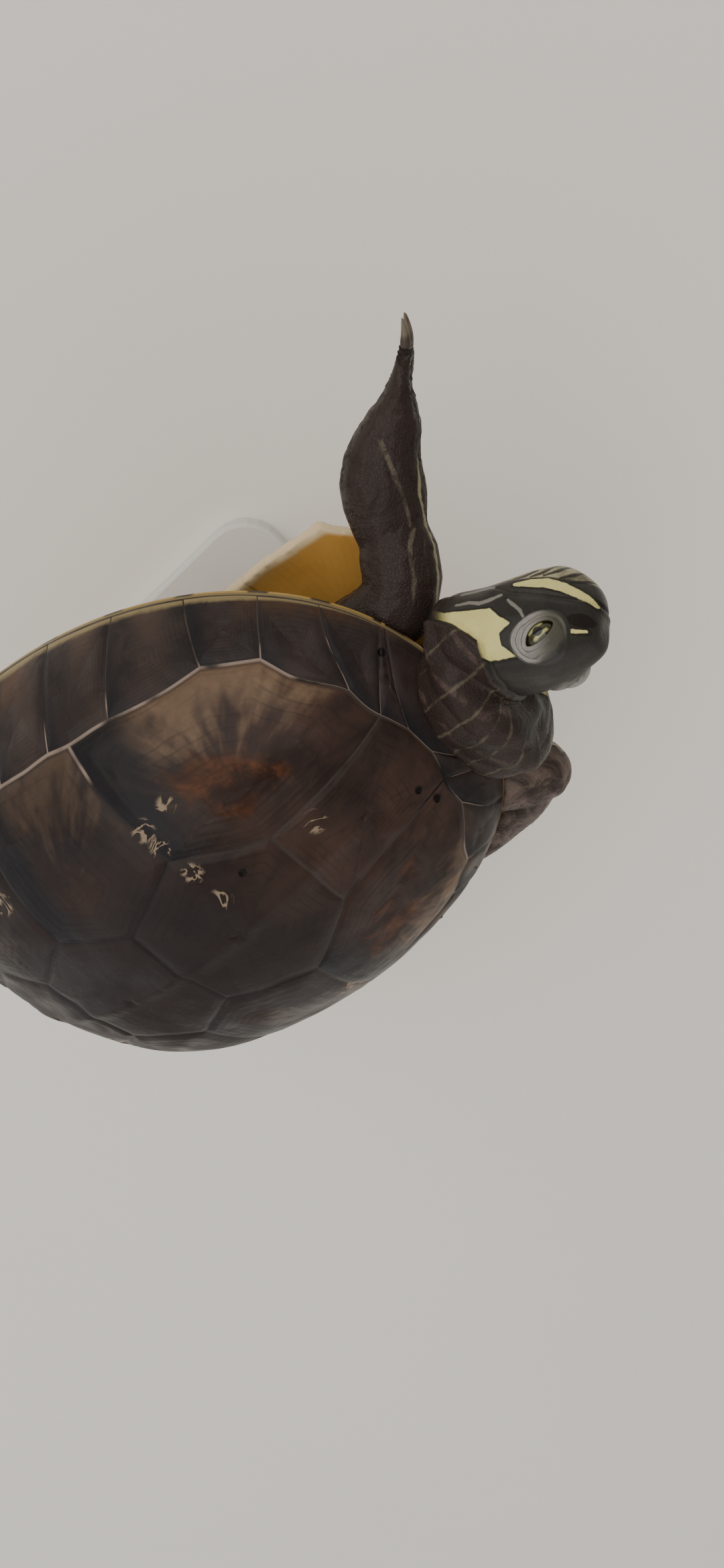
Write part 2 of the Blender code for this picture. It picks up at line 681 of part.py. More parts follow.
# ---------------------------------------------------------------- the whole model
def main():
    carapace = make_carapace()
    plastron = make_plastron()
    trunk = make_trunk()
    carve(trunk, (plastron,))
    head, jaw, eyes = make_head()
    neck = make_neck()
    carve(neck, (trunk, plastron, carapace))
    tail_frames = limb_frames(TAIL_ROWS, 2)
    tail = limb_piece("tail", tail_frames, SKIN)
    carve(tail, (trunk, plastron, carapace))
    for row in LIMBS:
        upper, lower = make_limb(*row)
        blockers = [plastron, carapace]
        if row[0].startswith("fore"):
            blockers.append(neck)
        carve(lower, [upper] + blockers)
        carve(upper, blockers + [trunk])
    carve(neck, (head,))


main()
make_stand()
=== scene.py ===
# %% [markdown]
# # A yellow-bellied slider on its display stand
# This lesson dresses the plain solids of a freshwater turtle.  The solids give the place
# and the size of everything; the cells below add one skin, horn plates with growth rings,
# eyes with lids, claws, and the finish of each surface.

# %% Load the packed solids
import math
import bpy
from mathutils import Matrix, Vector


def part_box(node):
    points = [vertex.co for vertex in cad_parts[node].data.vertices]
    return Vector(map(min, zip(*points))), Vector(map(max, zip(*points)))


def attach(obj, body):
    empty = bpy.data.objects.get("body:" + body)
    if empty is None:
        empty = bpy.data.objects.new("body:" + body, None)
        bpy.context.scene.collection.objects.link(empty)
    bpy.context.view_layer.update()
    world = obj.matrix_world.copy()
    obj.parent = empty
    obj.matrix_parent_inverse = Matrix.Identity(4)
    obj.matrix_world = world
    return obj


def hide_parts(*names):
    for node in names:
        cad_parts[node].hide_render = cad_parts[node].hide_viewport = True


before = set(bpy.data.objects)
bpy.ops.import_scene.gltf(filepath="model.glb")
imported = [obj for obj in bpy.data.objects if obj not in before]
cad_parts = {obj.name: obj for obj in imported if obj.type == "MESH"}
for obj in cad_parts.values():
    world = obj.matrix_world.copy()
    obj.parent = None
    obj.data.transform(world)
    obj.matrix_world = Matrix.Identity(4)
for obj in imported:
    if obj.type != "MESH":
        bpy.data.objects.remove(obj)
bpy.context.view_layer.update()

# %% Modules, and the box of the solids
from types import SimpleNamespace

import bmesh
import bpy
import numpy as np
from mathutils import Euler, Matrix, Vector, noise
from mathutils.bvhtree import BVHTree

MM = 0.001
print("solids:", len(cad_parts), "nodes")

# %% [markdown]
# ## The animal's own frame
# A swimming turtle tips its nose up.  It could be modelled tipped, but every formula for a
# shell is simpler when the rim lies flat.  So shapes are worked out in the body's frame
# (+X to the nose, +Y to its left, +Z up, middle of the rim at zero) and posed at the end.

# %% The body's frame and the carapace's length
NOSE_UP = math.radians(14.0)
BODY_HEIGHT = 0.100
POSE = Matrix.Translation((0.0, 0.0, BODY_HEIGHT)) @ Matrix.Rotation(-NOSE_UP, 4, "Y")
UNPOSE = POSE.inverted()


def moved(matrix, points):
    """An array of points, moved by a matrix."""
    matrix = np.array(matrix)
    return points @ matrix[:3, :3].T + matrix[:3, 3]


def mesh_points(mesh):
    """A mesh's vertices as an array."""
    flat = np.empty(len(mesh.vertices) * 3)
    mesh.vertices.foreach_get("co", flat)
    return flat.reshape(-1, 3)


shell_points = moved(UNPOSE, mesh_points(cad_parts["carapace"].data))
CL = round(float(np.ptp(shell_points[:, 0])), 4)
print("straight carapace length:", CL)

# %% The head's frame: along the skull, to its left, to its crown
HEAD_LENGTH = 0.190 * CL
HEAD_TURN = Euler((math.radians(30.0), math.radians(-20.0), math.radians(-17.5)))
HEAD = POSE @ Matrix.LocRotScale(Vector((0.525, 0.040, -0.008)) * CL, HEAD_TURN, None)
EYE_RADIUS = 0.0215 * CL
EYE_PLACE = Vector((0.132, 0.0415, 0.0175)) * CL
MOUTH_DROP = 0.026 * CL
MOUTH_SLOPE = math.radians(4.0)
print("skull:", round(HEAD_LENGTH / MM, 1), "mm long")

# %% [markdown]
# ## Small helpers
# Every material below is a tree of nodes.  Wiring gives the common ones short names, so
# that a pattern reads as a sentence.  Pieces made from arrays share one function too.

# %% A short way to write node trees


class Wiring:
    """Short names for the nodes of one material or group."""

    def __init__(self, tree):
        self.tree = tree

    def node(self, kind, inputs=None, **settings):
        """Add a node; inputs are numbers, colours or sockets to link."""
        made = self.tree.nodes.new(kind)
        for name, value in settings.items():
            setattr(made, name, value)
        for key, value in (inputs or {}).items():
            if isinstance(value, bpy.types.NodeSocket):
                self.tree.links.new(value, made.inputs[key])
            else:
                made.inputs[key].default_value = value
        return made

    def math(self, operation, a, b=0.0):
        """One Math node."""
        return self.node("ShaderNodeMath", {0: a, 1: b}, operation=operation).outputs[0]

    def times(self, a, b):
        """a multiplied by b."""
        return self.math("MULTIPLY", a, b)

    def plus(self, a, b):
        """The sum of a and b."""
        return self.math("ADD", a, b)

    def minus(self, a, b):
        """a less b."""
        return self.math("SUBTRACT", a, b)

    def swing(self, value, amount):
        """A noise value, made to swing round zero by an amount."""
        return self.times(self.minus(value, 0.5), amount)

    def step(self, value, low, high):
        """0 below low, 1 above high, smooth between; low may be the larger."""
        made = self.node("ShaderNodeMapRange", {"Value": value, "From Min": low,
                                                "From Max": high},
                         interpolation_type="SMOOTHSTEP")
        return made.outputs["Result"]

    def mix(self, share, a, b):
        """Colour a where share is 0, b where it is 1."""
        made = self.node("ShaderNodeMix", {0: share, 6: a, 7: b}, data_type="RGBA")
        return made.outputs[2]

    def tint(self, colour, share, strength, paint):
        """Paint over a colour, where share says so, at most at the given strength."""
        return self.mix(self.times(share, strength), colour, paint)

    def noise(self, vector, scale, detail=3.0, rough=0.55, distortion=0.0):
        """A noise value round 0.5."""
        made = self.node("ShaderNodeTexNoise",
                         {"Vector": vector, "Scale": scale, "Detail": detail,
                          "Roughness": rough, "Distortion": distortion})
        return made.outputs[0]

    def stretch(self, vector, scale):
        """A vector multiplied by three numbers."""
        made = self.node("ShaderNodeVectorMath", {0: vector, 1: scale}, operation="MULTIPLY")
        return made.outputs[0]

    def parts(self, vector):
        """The three numbers of a vector."""
        return self.node("ShaderNodeSeparateXYZ", {0: vector}).outputs

    def read(self, name, output="Vector"):
        """A value stored on the mesh."""
        return self.node("ShaderNodeAttribute", attribute_name=name).outputs[output]

    def coords(self):
        """Places in metres, which stay with the object."""
        return self.node("ShaderNodeTexCoord").outputs["Object"]

    def bump(self, height, distance):
        """A normal bent by a height."""
        return self.node("ShaderNodeBump", {"Height": height, "Distance": distance}).outputs[0]

    def group(self, tree, inputs):
        """A shared effect, placed with its own values."""
        return self.node("ShaderNodeGroup", inputs, node_tree=tree).outputs


def rgb(red, green, blue):
    """A colour as the sockets want it."""
    return (red, green, blue, 1.0)


def finish(name, **constants):
    """A new material, its wiring and its Principled shader with constant values set."""
    made = bpy.data.materials.new(name)
    made.use_nodes = True
    shader = made.node_tree.nodes["Principled BSDF"]
    for key, value in constants.items():
        shader.inputs[key.replace("_", " ").title().replace("Ior", "IOR")].default_value = value
    return made, Wiring(made.node_tree), shader


def shared_effect(name, inputs, outputs):
    """A new node group; inputs are (name, kind, default), outputs (name, kind)."""
    tree = bpy.data.node_groups.new(name, "ShaderNodeTree")
    for label, kind, default in inputs:
        socket = tree.interface.new_socket(label, in_out="INPUT", socket_type=kind)
        if default is not None:
            socket.default_value = default
    for label, kind in outputs:
        tree.interface.new_socket(label, in_out="OUTPUT", socket_type=kind)
    wiring = Wiring(tree)
    entry = tree.nodes.new("NodeGroupInput").outputs
    leave = tree.nodes.new("NodeGroupOutput")
    return tree, wiring, entry, leave


def join(wiring, source, target):
    """Link two sockets."""
    wiring.tree.links.new(source, target)


def dress(wiring, shader, colour, roughness=None, normal=None):
    """Link what changes over the surface to the shader."""
    for label, source in (("Base Color", colour), ("Roughness", roughness),
                          ("Normal", normal)):
        if source is not None:
            join(wiring, source, shader.inputs[label])


print("node helpers:", sum(1 for name in vars(Wiring) if not name.startswith("_")))

# %% Putting pieces in the scene
def add_piece(name, mesh, material, nodes):
    """A visible piece that rides on the body and stands for the named solids."""
    piece = bpy.data.objects.new(name, mesh)
    mesh.materials.clear()
    mesh.materials.append(material)
    mesh.shade_smooth()
    bpy.context.scene.collection.objects.link(piece)
    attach(piece, "root")
    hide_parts(*nodes)
    print(name, len(mesh.polygons), "faces")


def store(mesh, name, values):
    """Keep one number or vector for each vertex."""
    values = np.asarray(values, dtype=np.float32)
    kind, field = ("FLOAT", "value") if values.ndim == 1 else ("FLOAT_VECTOR", "vector")
    made = mesh.attributes.new(name, kind, "POINT")
    made.data.foreach_set(field, values.ravel())


# %% Two profiles that shapes are pressed with
def smooth(value, low, high):
    """0 below low, 1 above high; low may be the larger."""
    t = np.clip((value - low) / (high - low), 0, 1)
    return t * t * (3 - 2 * t)


def bell(distance, width, centre=0.0):
    """1 at the centre, falling away softly over the width."""
    return np.exp(-((distance - centre) / width) ** 2)


print("bell at its own width:", round(float(bell(1.0, 1.0)), 3))

# %% [markdown]
# ## Effects that several surfaces share
# Horn grows in rings, so carapace and plastron share the rings.  Everything on an animal
# fresh from the water carries an uneven film of it, which is a change of roughness.

# %% Growth rings, for horn
RINGS, wire, entry, leave = shared_effect(
    "growth rings",
    (("Share", "NodeSocketFloat", 0.0), ("Seed", "NodeSocketFloat", 0.0),
     ("Count", "NodeSocketFloat", 9.0)),
    (("Line", "NodeSocketFloat"), ("Height", "NodeSocketFloat")))
coords = wire.coords()
wobble = wire.noise(coords, 55.0, 2.0)
far = wire.plus(wire.times(entry["Share"], entry["Count"]), wire.times(wobble, 1.3))
far = wire.plus(far, wire.times(entry["Seed"], 7.0))
ring = wire.math("FRACT", far)
line = wire.times(wire.step(ring, 0.70, 0.95), wire.step(ring, 1.0, 0.96))
worn = wire.step(wire.noise(coords, 90.0, 3.0), 0.38, 0.62)
join(wire, wire.times(line, worn), leave.inputs["Line"])
join(wire, wire.times(ring, worn), leave.inputs["Height"])
print("shared effect:", RINGS.name)

# %% A film of water
FILM, wire, entry, leave = shared_effect(
    "water film",
    (("Dry", "NodeSocketFloat", 0.45), ("Wet", "NodeSocketFloat", 0.15),
     ("Patch", "NodeSocketFloat", 60.0)),
    (("Roughness", "NodeSocketFloat"),))
coords = wire.coords()
wet = wire.step(wire.noise(coords, entry["Patch"], 3.0), 0.38, 0.60)
spread = wire.minus(entry["Wet"], entry["Dry"])
join(wire, wire.plus(entry["Dry"], wire.times(wet, spread)), leave.inputs["Roughness"])
print("shared effect:", FILM.name)

# %% Pebbled scales, for skin and lids
PEBBLES, wire, entry, leave = shared_effect(
    "pebbled scales",
    (("Vector", "NodeSocketVector", None), ("Scale", "NodeSocketFloat", 900.0)),
    (("Height", "NodeSocketFloat"),))
cells = wire.node("ShaderNodeTexVoronoi", {"Vector": entry["Vector"],
                                           "Scale": entry["Scale"]},
                  feature="DISTANCE_TO_EDGE").outputs["Distance"]
grain = wire.noise(entry["Vector"], 2600.0, 2.0)
pad = wire.step(cells, 0.0, 0.22)
join(wire, wire.plus(pad, wire.times(grain, 0.25)), leave.inputs["Height"])
print("shared effects:", len(bpy.data.node_groups))

# %% [markdown]
# ## The carapace
# A slider's upper shell carries 38 plates of horn: 5 along the back, 4 at each side of
# them, 12 round each half of the rim, and a small one over the neck.  A dense grid with
# grooves pressed in would blur every seam.  Here each plate is its own fan of loops, from
# the spot where it began to grow out to its seam, and neighbours share the seam's points,
# so that the mesh closes and each groove is crisp.

# %% The dome, as the solid has it
WIDEST_X = -0.080               # shares of CL, behind the middle
HALF_WIDTH = 0.380
DOME = 0.272
RIM_EDGE = 0.012


def half_width(x):
    """Half the carapace's width at station x, all in shares of CL."""
    reach = np.where(x > WIDEST_X, 0.5 - WIDEST_X, WIDEST_X + 0.5)
    s = np.minimum(np.abs(x - WIDEST_X) / reach, 1.0)
    ahead = (1 - s ** 2.2) ** 0.45
    behind = (1 - s ** 2.4) ** 0.60
    return HALF_WIDTH * np.where(x > WIDEST_X, ahead, behind)


def dome_height(x, y):
    """Top of the carapace over the rim."""
    s = np.minimum(np.abs(x) / 0.5, 1.0)
    q = np.minimum(np.abs(y) / np.maximum(half_width(x), 1e-6), 1.0)
    return DOME * (1 - s ** 2.2) ** 0.85 * (1 - q ** 2.4) ** 0.78


def rim_place(angle):
    """A point of the outline; the nose is 0, the left side positive, the tail pi."""
    reach = 0.5 - WIDEST_X if math.cos(angle) > 0 else WIDEST_X + 0.5
    x = WIDEST_X + reach * math.cos(angle)
    return x, math.copysign(float(half_width(np.float64(x))), math.sin(angle))


def rim_angle(front):
    """The outline's angle at a share of the length from the front."""
    x = 0.5 - front
    reach = 0.5 - WIDEST_X if x > WIDEST_X else WIDEST_X + 0.5
    return math.acos(max(-1.0, min(1.0, (x - WIDEST_X) / reach)))


print("carapace width:", round(2 * HALF_WIDTH * CL / MM, 1), "mm")

# %% Where the seams meet, on the left half
# each corner: share of the length from the front, distance from the midline
CORNERS = {
    "nuchal": (0.052, 0.022), "v1_front": (0.061, 0.063), "v1_side": (0.140, 0.058),
    "v12": (0.217, 0.066), "v2_side": (0.318, 0.128), "v23": (0.430, 0.080),
    "v3_side": (0.530, 0.125), "v34": (0.630, 0.075), "v4_side": (0.725, 0.115),
    "v45": (0.815, 0.055), "v5_side": (0.888, 0.132), "v5_rear": (0.945, 0.052),
    "m3": (0.072, 0.111), "m4": (0.128, 0.204), "m5": (0.182, 0.245), "m6": (0.300, 0.273),
    "c12": (0.360, 0.284), "m7": (0.392, 0.290), "m8": (0.485, 0.298), "c23": (0.560, 0.297),
    "m9": (0.592, 0.293), "m10": (0.695, 0.268), "c34": (0.752, 0.246), "m11": (0.795, 0.224),
}
MIDDLE = {"n": 0.052, "12": 0.213, "23": 0.432, "34": 0.630, "45": 0.812, "r": 0.950}
# where the seams between the rim's plates reach its edge
RIM_SEAMS = {2: 0.022, 3: 0.060, 4: 0.110, 5: 0.185, 6: 0.275, 7: 0.375, 8: 0.480,
             9: 0.590, 10: 0.700, 11: 0.800, 12: 0.885}
NUCHAL_HALF = 0.26              # angle of the neck plate's corner on the outline

VERTEBRAL, COSTAL, MARGINAL, UNDERSIDE = range(4)     # the kinds of horn
TAIL_SEAM = 13                  # the rim seam behind, after the twelve of one side

# plate: kind, then its corners in order; a number is a rim seam
PLATES_LEFT = {
    "marginal_1": (MARGINAL, ["nuchal", "v1_front", 2, 1]),
    "marginal_2": (MARGINAL, ["v1_front", "m3", 3, 2]),
    "marginal_3": (MARGINAL, ["m3", "m4", 4, 3]),
    "marginal_4": (MARGINAL, ["m4", "m5", 5, 4]),
    "marginal_5": (MARGINAL, ["m5", "m6", 6, 5]),
    "marginal_6": (MARGINAL, ["m6", "c12", "m7", 7, 6]),
    "marginal_7": (MARGINAL, ["m7", "m8", 8, 7]),
    "marginal_8": (MARGINAL, ["m8", "c23", "m9", 9, 8]),
    "marginal_9": (MARGINAL, ["m9", "m10", 10, 9]),
    "marginal_10": (MARGINAL, ["m10", "c34", "m11", 11, 10]),
    "marginal_11": (MARGINAL, ["m11", "v5_side", 12, 11]),
    "marginal_12": (MARGINAL, ["v5_side", "v5_rear", "mid_r", TAIL_SEAM, 12]),
    "costal_1": (COSTAL, ["v1_front", "m3", "m4", "m5", "m6", "c12", "v2_side", "v12",
                          "v1_side"]),
    "costal_2": (COSTAL, ["c12", "m7", "m8", "c23", "v3_side", "v23", "v2_side"]),
    "costal_3": (COSTAL, ["c23", "m9", "m10", "c34", "v4_side", "v34", "v3_side"]),
    "costal_4": (COSTAL, ["c34", "m11", "v5_side", "v45", "v4_side"]),
}
# plates across the midline: the left corners from front to back
PLATES_MIDDLE = {
    "nuchal": ("n", None, [1, "nuchal"]),
    "vertebral_1": ("n", "12", ["nuchal", "v1_front", "v1_side", "v12"]),
    "vertebral_2": ("12", "23", ["v12", "v2_side", "v23"]),
    "vertebral_3": ("23", "34", ["v23", "v3_side", "v34"]),
    "vertebral_4": ("34", "45", ["v34", "v4_side", "v45"]),
    "vertebral_5": ("45", "r", ["v45", "v5_side", "v5_rear"]),
}
GROWTH_CENTRES = {"costal_1": (0.212, 0.132), "costal_2": (0.450, 0.165),
                  "costal_3": (0.645, 0.160), "costal_4": (0.800, 0.130)}
print("plates:", 2 * len(PLATES_LEFT) + len(PLATES_MIDDLE))

# %% Points along a seam
SEAM_STEP = 0.0055              # spacing of points along a seam, share of CL
SEAM_WANDER = 0.0040            # how far a seam strays, share of CL


def corner(label, side):
    """A corner as ('rim', angle) or ('dome', front, y)."""
    if isinstance(label, int):
        if label == TAIL_SEAM:
            return "rim", side * math.pi
        angle = NUCHAL_HALF if label == 1 else rim_angle(RIM_SEAMS[label])
        return "rim", side * angle
    if label.startswith("mid_"):
        return "dome", MIDDLE[label[4:]], 0.0
    front, y = CORNERS[label]
    return "dome", front, side * y


def place_of(spot):
    """A corner's x and y, in shares of CL."""
    if spot[0] == "rim":
        return np.array(rim_place(spot[1]))
    return np.array((0.5 - spot[1], spot[2]))


def drifted(points):
    """Seams of real horn wander a little; they stay put at the rim and the midline."""
    room = half_width(points[:, 0]) - np.abs(points[:, 1])
    share = np.clip(room / 0.04, 0, 1) * np.clip(np.abs(points[:, 1]) / 0.03, 0.15, 1)
    drift = np.array([[noise.noise(Vector((x * 16, y * 16, layer))) for layer in (3.7, 41.3)]
                      for x, y in points])
    return points + SEAM_WANDER * drift * share[:, None]


def seam(start, end):
    """Points from one corner to the next, the same ones from either side."""
    if start > end:
        return seam(end, start)[::-1]
    a, b = place_of(start), place_of(end)
    if start[0] == end[0] == "rim":
        low, high = start[1], end[1]
        count = max(3, round(abs(high - low) * 0.44 / SEAM_STEP))
        return np.array([rim_place(low + (high - low) * k / count) for k in range(count + 1)])
    count = max(3, round(np.linalg.norm(b - a) * 1.15 / SEAM_STEP))
    share = np.linspace(0, 1, count + 1)[:, None]
    return drifted(a + (b - a) * share)


print("points along one seam:", len(seam(corner("m5", 1), corner("m6", 1))))

# %% The height of the horn over the dome
GROOVE = 0.34 * MM              # depth of a seam
GROOVE_WIDE = 1.00 * MM
KEEL = 0.9 * MM                 # low ridge along the back
LOBE = 0.0065                   # how far the rear plates stand out at the rim
CROWN = 0.45 * MM               # how far the middle of a plate is raised
RING_RISE = 0.05 * MM           # height of its growth rings


def lobed(x, y):
    """The rear rim is a little toothed: each plate stands out behind its seam."""
    angle = np.abs(np.arctan2(y, x - WIDEST_X))
    seams = [rim_angle(RIM_SEAMS[k]) for k in range(7, 13)] + [math.pi]
    out = np.zeros_like(angle)
    for low, high in zip(seams, seams[1:]):
        inside = (angle >= low) & (angle < high)
        t = (angle - low) / (high - low)
        out = np.where(inside, np.sin(np.pi * np.clip(t, 0, 1)) ** 0.6 * (0.35 + 0.65 * t), out)
    rear = np.clip((angle - 1.6) / 0.9, 0, 1)
    q = np.abs(y) / np.maximum(half_width(x), 1e-6)
    q = np.maximum(q, np.clip((np.hypot(x - WIDEST_X, y)) / 0.42, 0, 1))
    near = np.clip((q - 0.86) / 0.14, 0, 1) ** 1.5
    return 1 + LOBE / 0.4 * out * rear * near


def on_dome(x, y, lift):
    """Points of the shell's outside in metres, raised along the dome's normal."""
    step = 0.002
    inside = np.clip(1 - 0.004 / np.maximum(np.hypot(x, y), 0.05), 0, 1)
    xi, yi = x * inside, y * inside
    slope_x = (dome_height(xi + step, yi) - dome_height(xi - step, yi)) / (2 * step)
    slope_y = (dome_height(xi, yi + step) - dome_height(xi, yi - step)) / (2 * step)
    normal = np.stack([-slope_x, -slope_y, np.ones_like(x)], axis=1)
    normal /= np.linalg.norm(normal, axis=1)[:, None]
    grow = lobed(x, y)
    base = np.stack([WIDEST_X + (x - WIDEST_X) * grow, y * grow, dome_height(x, y)], axis=1)
    return base * CL + normal * lift[:, None]


def ripples(x, y):
    """Slow unevenness of the whole shell, in metres."""
    return MM * np.array([0.45 * noise.noise(Vector((a * 9, b * 9, 0.5)))
                          + 0.12 * noise.noise(Vector((a * 34, b * 34, 4.5)))
                          for a, b in zip(x, y)])


print("top of the dome:", round(float(dome_height(0.0, 0.0)) * CL / MM, 1), "mm over the rim")

# %% One plate: loops from its first horn out to its seam
INNER_LOOPS = {VERTEBRAL: 15, COSTAL: 19, MARGINAL: 7}
SEAM_LOOPS = (0.925, 0.945, 0.962, 0.976, 0.988, 1.0)     # close together in the groove


def build_plate(bm, layers, kind, outline, is_rim, centre, seed):
    """Add one plate's faces to the shell's mesh."""
    shares = np.concatenate([np.linspace(0.06, 0.90, INNER_LOOPS[kind]), SEAM_LOOPS])
    reach = np.linalg.norm(outline - centre, axis=1) * CL
    front, rear = outline[:, 0].max(), outline[:, 0].min()
    rows = []
    facts = []
    for share in shares:
        flat = centre + (outline - centre) * share
        from_seam = (1 - share) * reach * 0.85
        groove = bell(from_seam, GROOVE_WIDE) * np.where(is_rim, 0.0, 1.0)
        crown = CROWN * (1 - share ** 5) * (0.5 if kind == MARGINAL else 1.0)
        x, y = flat[:, 0], flat[:, 1]
        keel = KEEL * bell(y, 0.016) * np.clip((0.44 - np.abs(x)) / 0.1, 0, 1)
        growth = RING_RISE * np.sin(2 * np.pi * share * 7 + 3 * seed) * (share < 0.93)
        lift = crown + growth + keel + ripples(x, y) - GROOVE * groove
        lift = lift * np.where(is_rim, np.minimum(1.0, (1 - share) * 8), 1.0)
        rows.append(on_dome(x, y, lift))
        aft = (front - x) / (front - rear)
        q = np.abs(y) / np.maximum(half_width(x), 1e-6)
        facts.append((aft, q, np.full(len(x), share)))
    hub = on_dome(centre[:1], centre[1:], np.array([CROWN]))[0]
    loops = [[bm.verts.new(p) for p in row] for row in rows]
    hub_vert = bm.verts.new(hub)
    place, sort = layers
    count = len(outline)
    mid = [float(np.mean(column)) for column in facts[0]]
    for i in range(count):
        j = (i + 1) % count
        turn_i, turn_j = i / count, (i + 1) / count
        face = bm.faces.new((hub_vert, loops[0][i], loops[0][j]))
        spots = [(*mid[:2], 0.0), [c[i] for c in facts[0]], [c[j] for c in facts[0]]]
        for loop, spot, turn in zip(face.loops, spots, (turn_i, turn_i, turn_j)):
            loop[place] = spot
            loop[sort] = (kind, seed, turn)
        for k in range(len(loops) - 1):
            face = bm.faces.new((loops[k][i], loops[k + 1][i], loops[k + 1][j], loops[k][j]))
            spots = ([c[i] for c in facts[k]], [c[i] for c in facts[k + 1]],
                     [c[j] for c in facts[k + 1]], [c[j] for c in facts[k]])
            for loop, spot, turn in zip(face.loops, spots, (turn_i, turn_i, turn_j, turn_j)):
                loop[place] = spot
                loop[sort] = (kind, seed, turn)


def outline_of(spots):
    """A plate's closed outline, and which of its points lie on the rim's edge."""
    points = []
    rim = []
    for a, b in zip(spots, spots[1:] + spots[:1]):
        run = seam(a, b)[:-1]
        both = a[0] == b[0] == "rim"
        points.extend(run)
        rim.extend([both] * len(run))
        if not both and a[0] == "rim":
            rim[-len(run)] = True
    return np.array(points), np.array(rim)


print("loops in a side plate:", INNER_LOOPS[COSTAL] + len(SEAM_LOOPS))

# %% All the plates
def all_plates():
    """Every plate as name, kind, corner spots and growth centre."""
    plates = []
    for name, (kind, labels) in PLATES_LEFT.items():
        for side, word in ((1, "left"), (-1, "right")):
            spots = [corner(label, side) for label in labels]
            centre = GROWTH_CENTRES.get(name)
            if centre:
                centre = np.array((0.5 - centre[0], side * centre[1]))
            plates.append((f"{name}_{word}", kind, spots, centre))
    for name, (ahead, behind, labels) in PLATES_MIDDLE.items():
        left = [corner(label, 1) for label in labels]
        right = [corner(label, -1) for label in reversed(labels)]
        if name == "nuchal":
            spots = left + [("dome", MIDDLE["n"], 0.0)] + right
            plates.append((name, MARGINAL, spots, None))
            continue
        first, last = ("dome", MIDDLE[ahead], 0.0), ("dome", MIDDLE[behind], 0.0)
        plates.append((name, VERTEBRAL, [first] + left + [last] + right, None))
    return plates


def build_upper_shell(bm, layers):
    """Every plate of the dome."""
    for index, (_, kind, spots, centre) in enumerate(all_plates()):
        outline, is_rim = outline_of(spots)
        if centre is None:
            centre = (outline.max(axis=0) + outline.min(axis=0)) / 2
            centre = 0.5 * centre + 0.5 * outline.mean(axis=0)
        seed = (index * 0.618) % 1.0
        build_plate(bm, layers, kind, outline, is_rim, centre, seed)


print("plates to build:", len(all_plates()))

# %% The rim's edge, its underside and the inside of the wall
# each loop: share of the way out to the outline, and depth in rim-edge heights
RIM_LOOPS = ((1.002, -0.30), (1.001, -0.70), (0.995, -1.08), (0.982, -1.38),
             (0.962, -1.56), (0.935, -1.62), (0.910, -1.52), (0.893, -0.90),
             (0.880, -0.10), (0.868, 1.00))
INNER_SHARES = (0.82, 0.70, 0.52, 0.30)
SHELL_WALL = 0.024
WELD = 0.02 * MM                # points closer than this are one


def outline_angles():
    """The rim seams in order, all the way round from the right of the tail."""
    half = [NUCHAL_HALF] + [rim_angle(RIM_SEAMS[k]) for k in range(2, 13)] + [math.pi]
    return [-a for a in reversed(half)] + half


def build_rim(bm, layers):
    """Loops from the outline down, in under the rim and up inside the shell."""
    angles = outline_angles()
    points = []
    seats = []
    for low, high in zip(angles, angles[1:]):
        run = seam(("rim", low), ("rim", high))[:-1]
        points.extend(run)
        seats.extend(np.linspace(0, 1, len(run), endpoint=False))
    outline = np.array(points)
    seats = np.array(seats)
    grow = lobed(outline[:, 0], outline[:, 1])[:, None]
    hub = np.array((WIDEST_X, 0.0))
    wide = hub + (outline - hub) * grow
    levels = [on_dome(outline[:, 0], outline[:, 1], np.zeros(len(outline)))]
    for share, depth in RIM_LOOPS:
        flat = hub + (wide - hub) * share
        levels.append(np.column_stack([flat, np.full(len(flat), depth * RIM_EDGE)]) * CL)
    for share in INNER_SHARES:
        flat = hub + (outline - hub) * share
        height = dome_height(flat[:, 0], flat[:, 1]) - SHELL_WALL
        levels.append(np.column_stack([flat, height]) * CL)
    loops = [[bm.verts.new(p) for p in level] for level in levels]
    place, sort = layers
    count = len(outline)
    for k in range(len(loops) - 1):
        for i in range(count):
            j = (i + 1) % count
            face = bm.faces.new((loops[k][i], loops[k + 1][i], loops[k + 1][j], loops[k][j]))
            seat_i, seat_j = seats[i], seats[j] if seats[j] > seats[i] else 1.0
            for loop, (seat, level) in zip(face.loops, ((seat_i, k), (seat_i, k + 1),
                                                        (seat_j, k + 1), (seat_j, k))):
                loop[place] = (seat, level / len(RIM_LOOPS), 0.5)
                loop[sort] = (UNDERSIDE, 0.3, 0.0)
    bm.faces.new(loops[-1])


def build_carapace():
    """The whole upper shell as one closed mesh in the row's frame."""
    bm = bmesh.new()
    layers = (bm.loops.layers.float_vector.new("place"),
              bm.loops.layers.float_vector.new("sort"))
    build_upper_shell(bm, layers)
    build_rim(bm, layers)
    bmesh.ops.remove_doubles(bm, verts=bm.verts, dist=WELD)
    bmesh.ops.recalc_face_normals(bm, faces=bm.faces)
    bmesh.ops.transform(bm, matrix=POSE, verts=bm.verts)
    open_edges = sum(1 for edge in bm.edges if len(edge.link_faces) != 2)
    print("carapace: open edges", open_edges)
    mesh = bpy.data.meshes.new("carapace_plates")
    bm.to_mesh(mesh)
    bm.free()
    return mesh


# %% [markdown]
# ## The finish of the horn
# A slider's shell is dark brown and darkens with age.  What is left of its pattern follows
# the growth of each plate: tan rays that spread from the first horn to the outer edge, a
# rusty patch where the plate began, a blue-black rear margin.  So the colours are mixed
# from what each point knows: how far out it lies in its plate and in which direction, how
# far aft, and how near the rim.

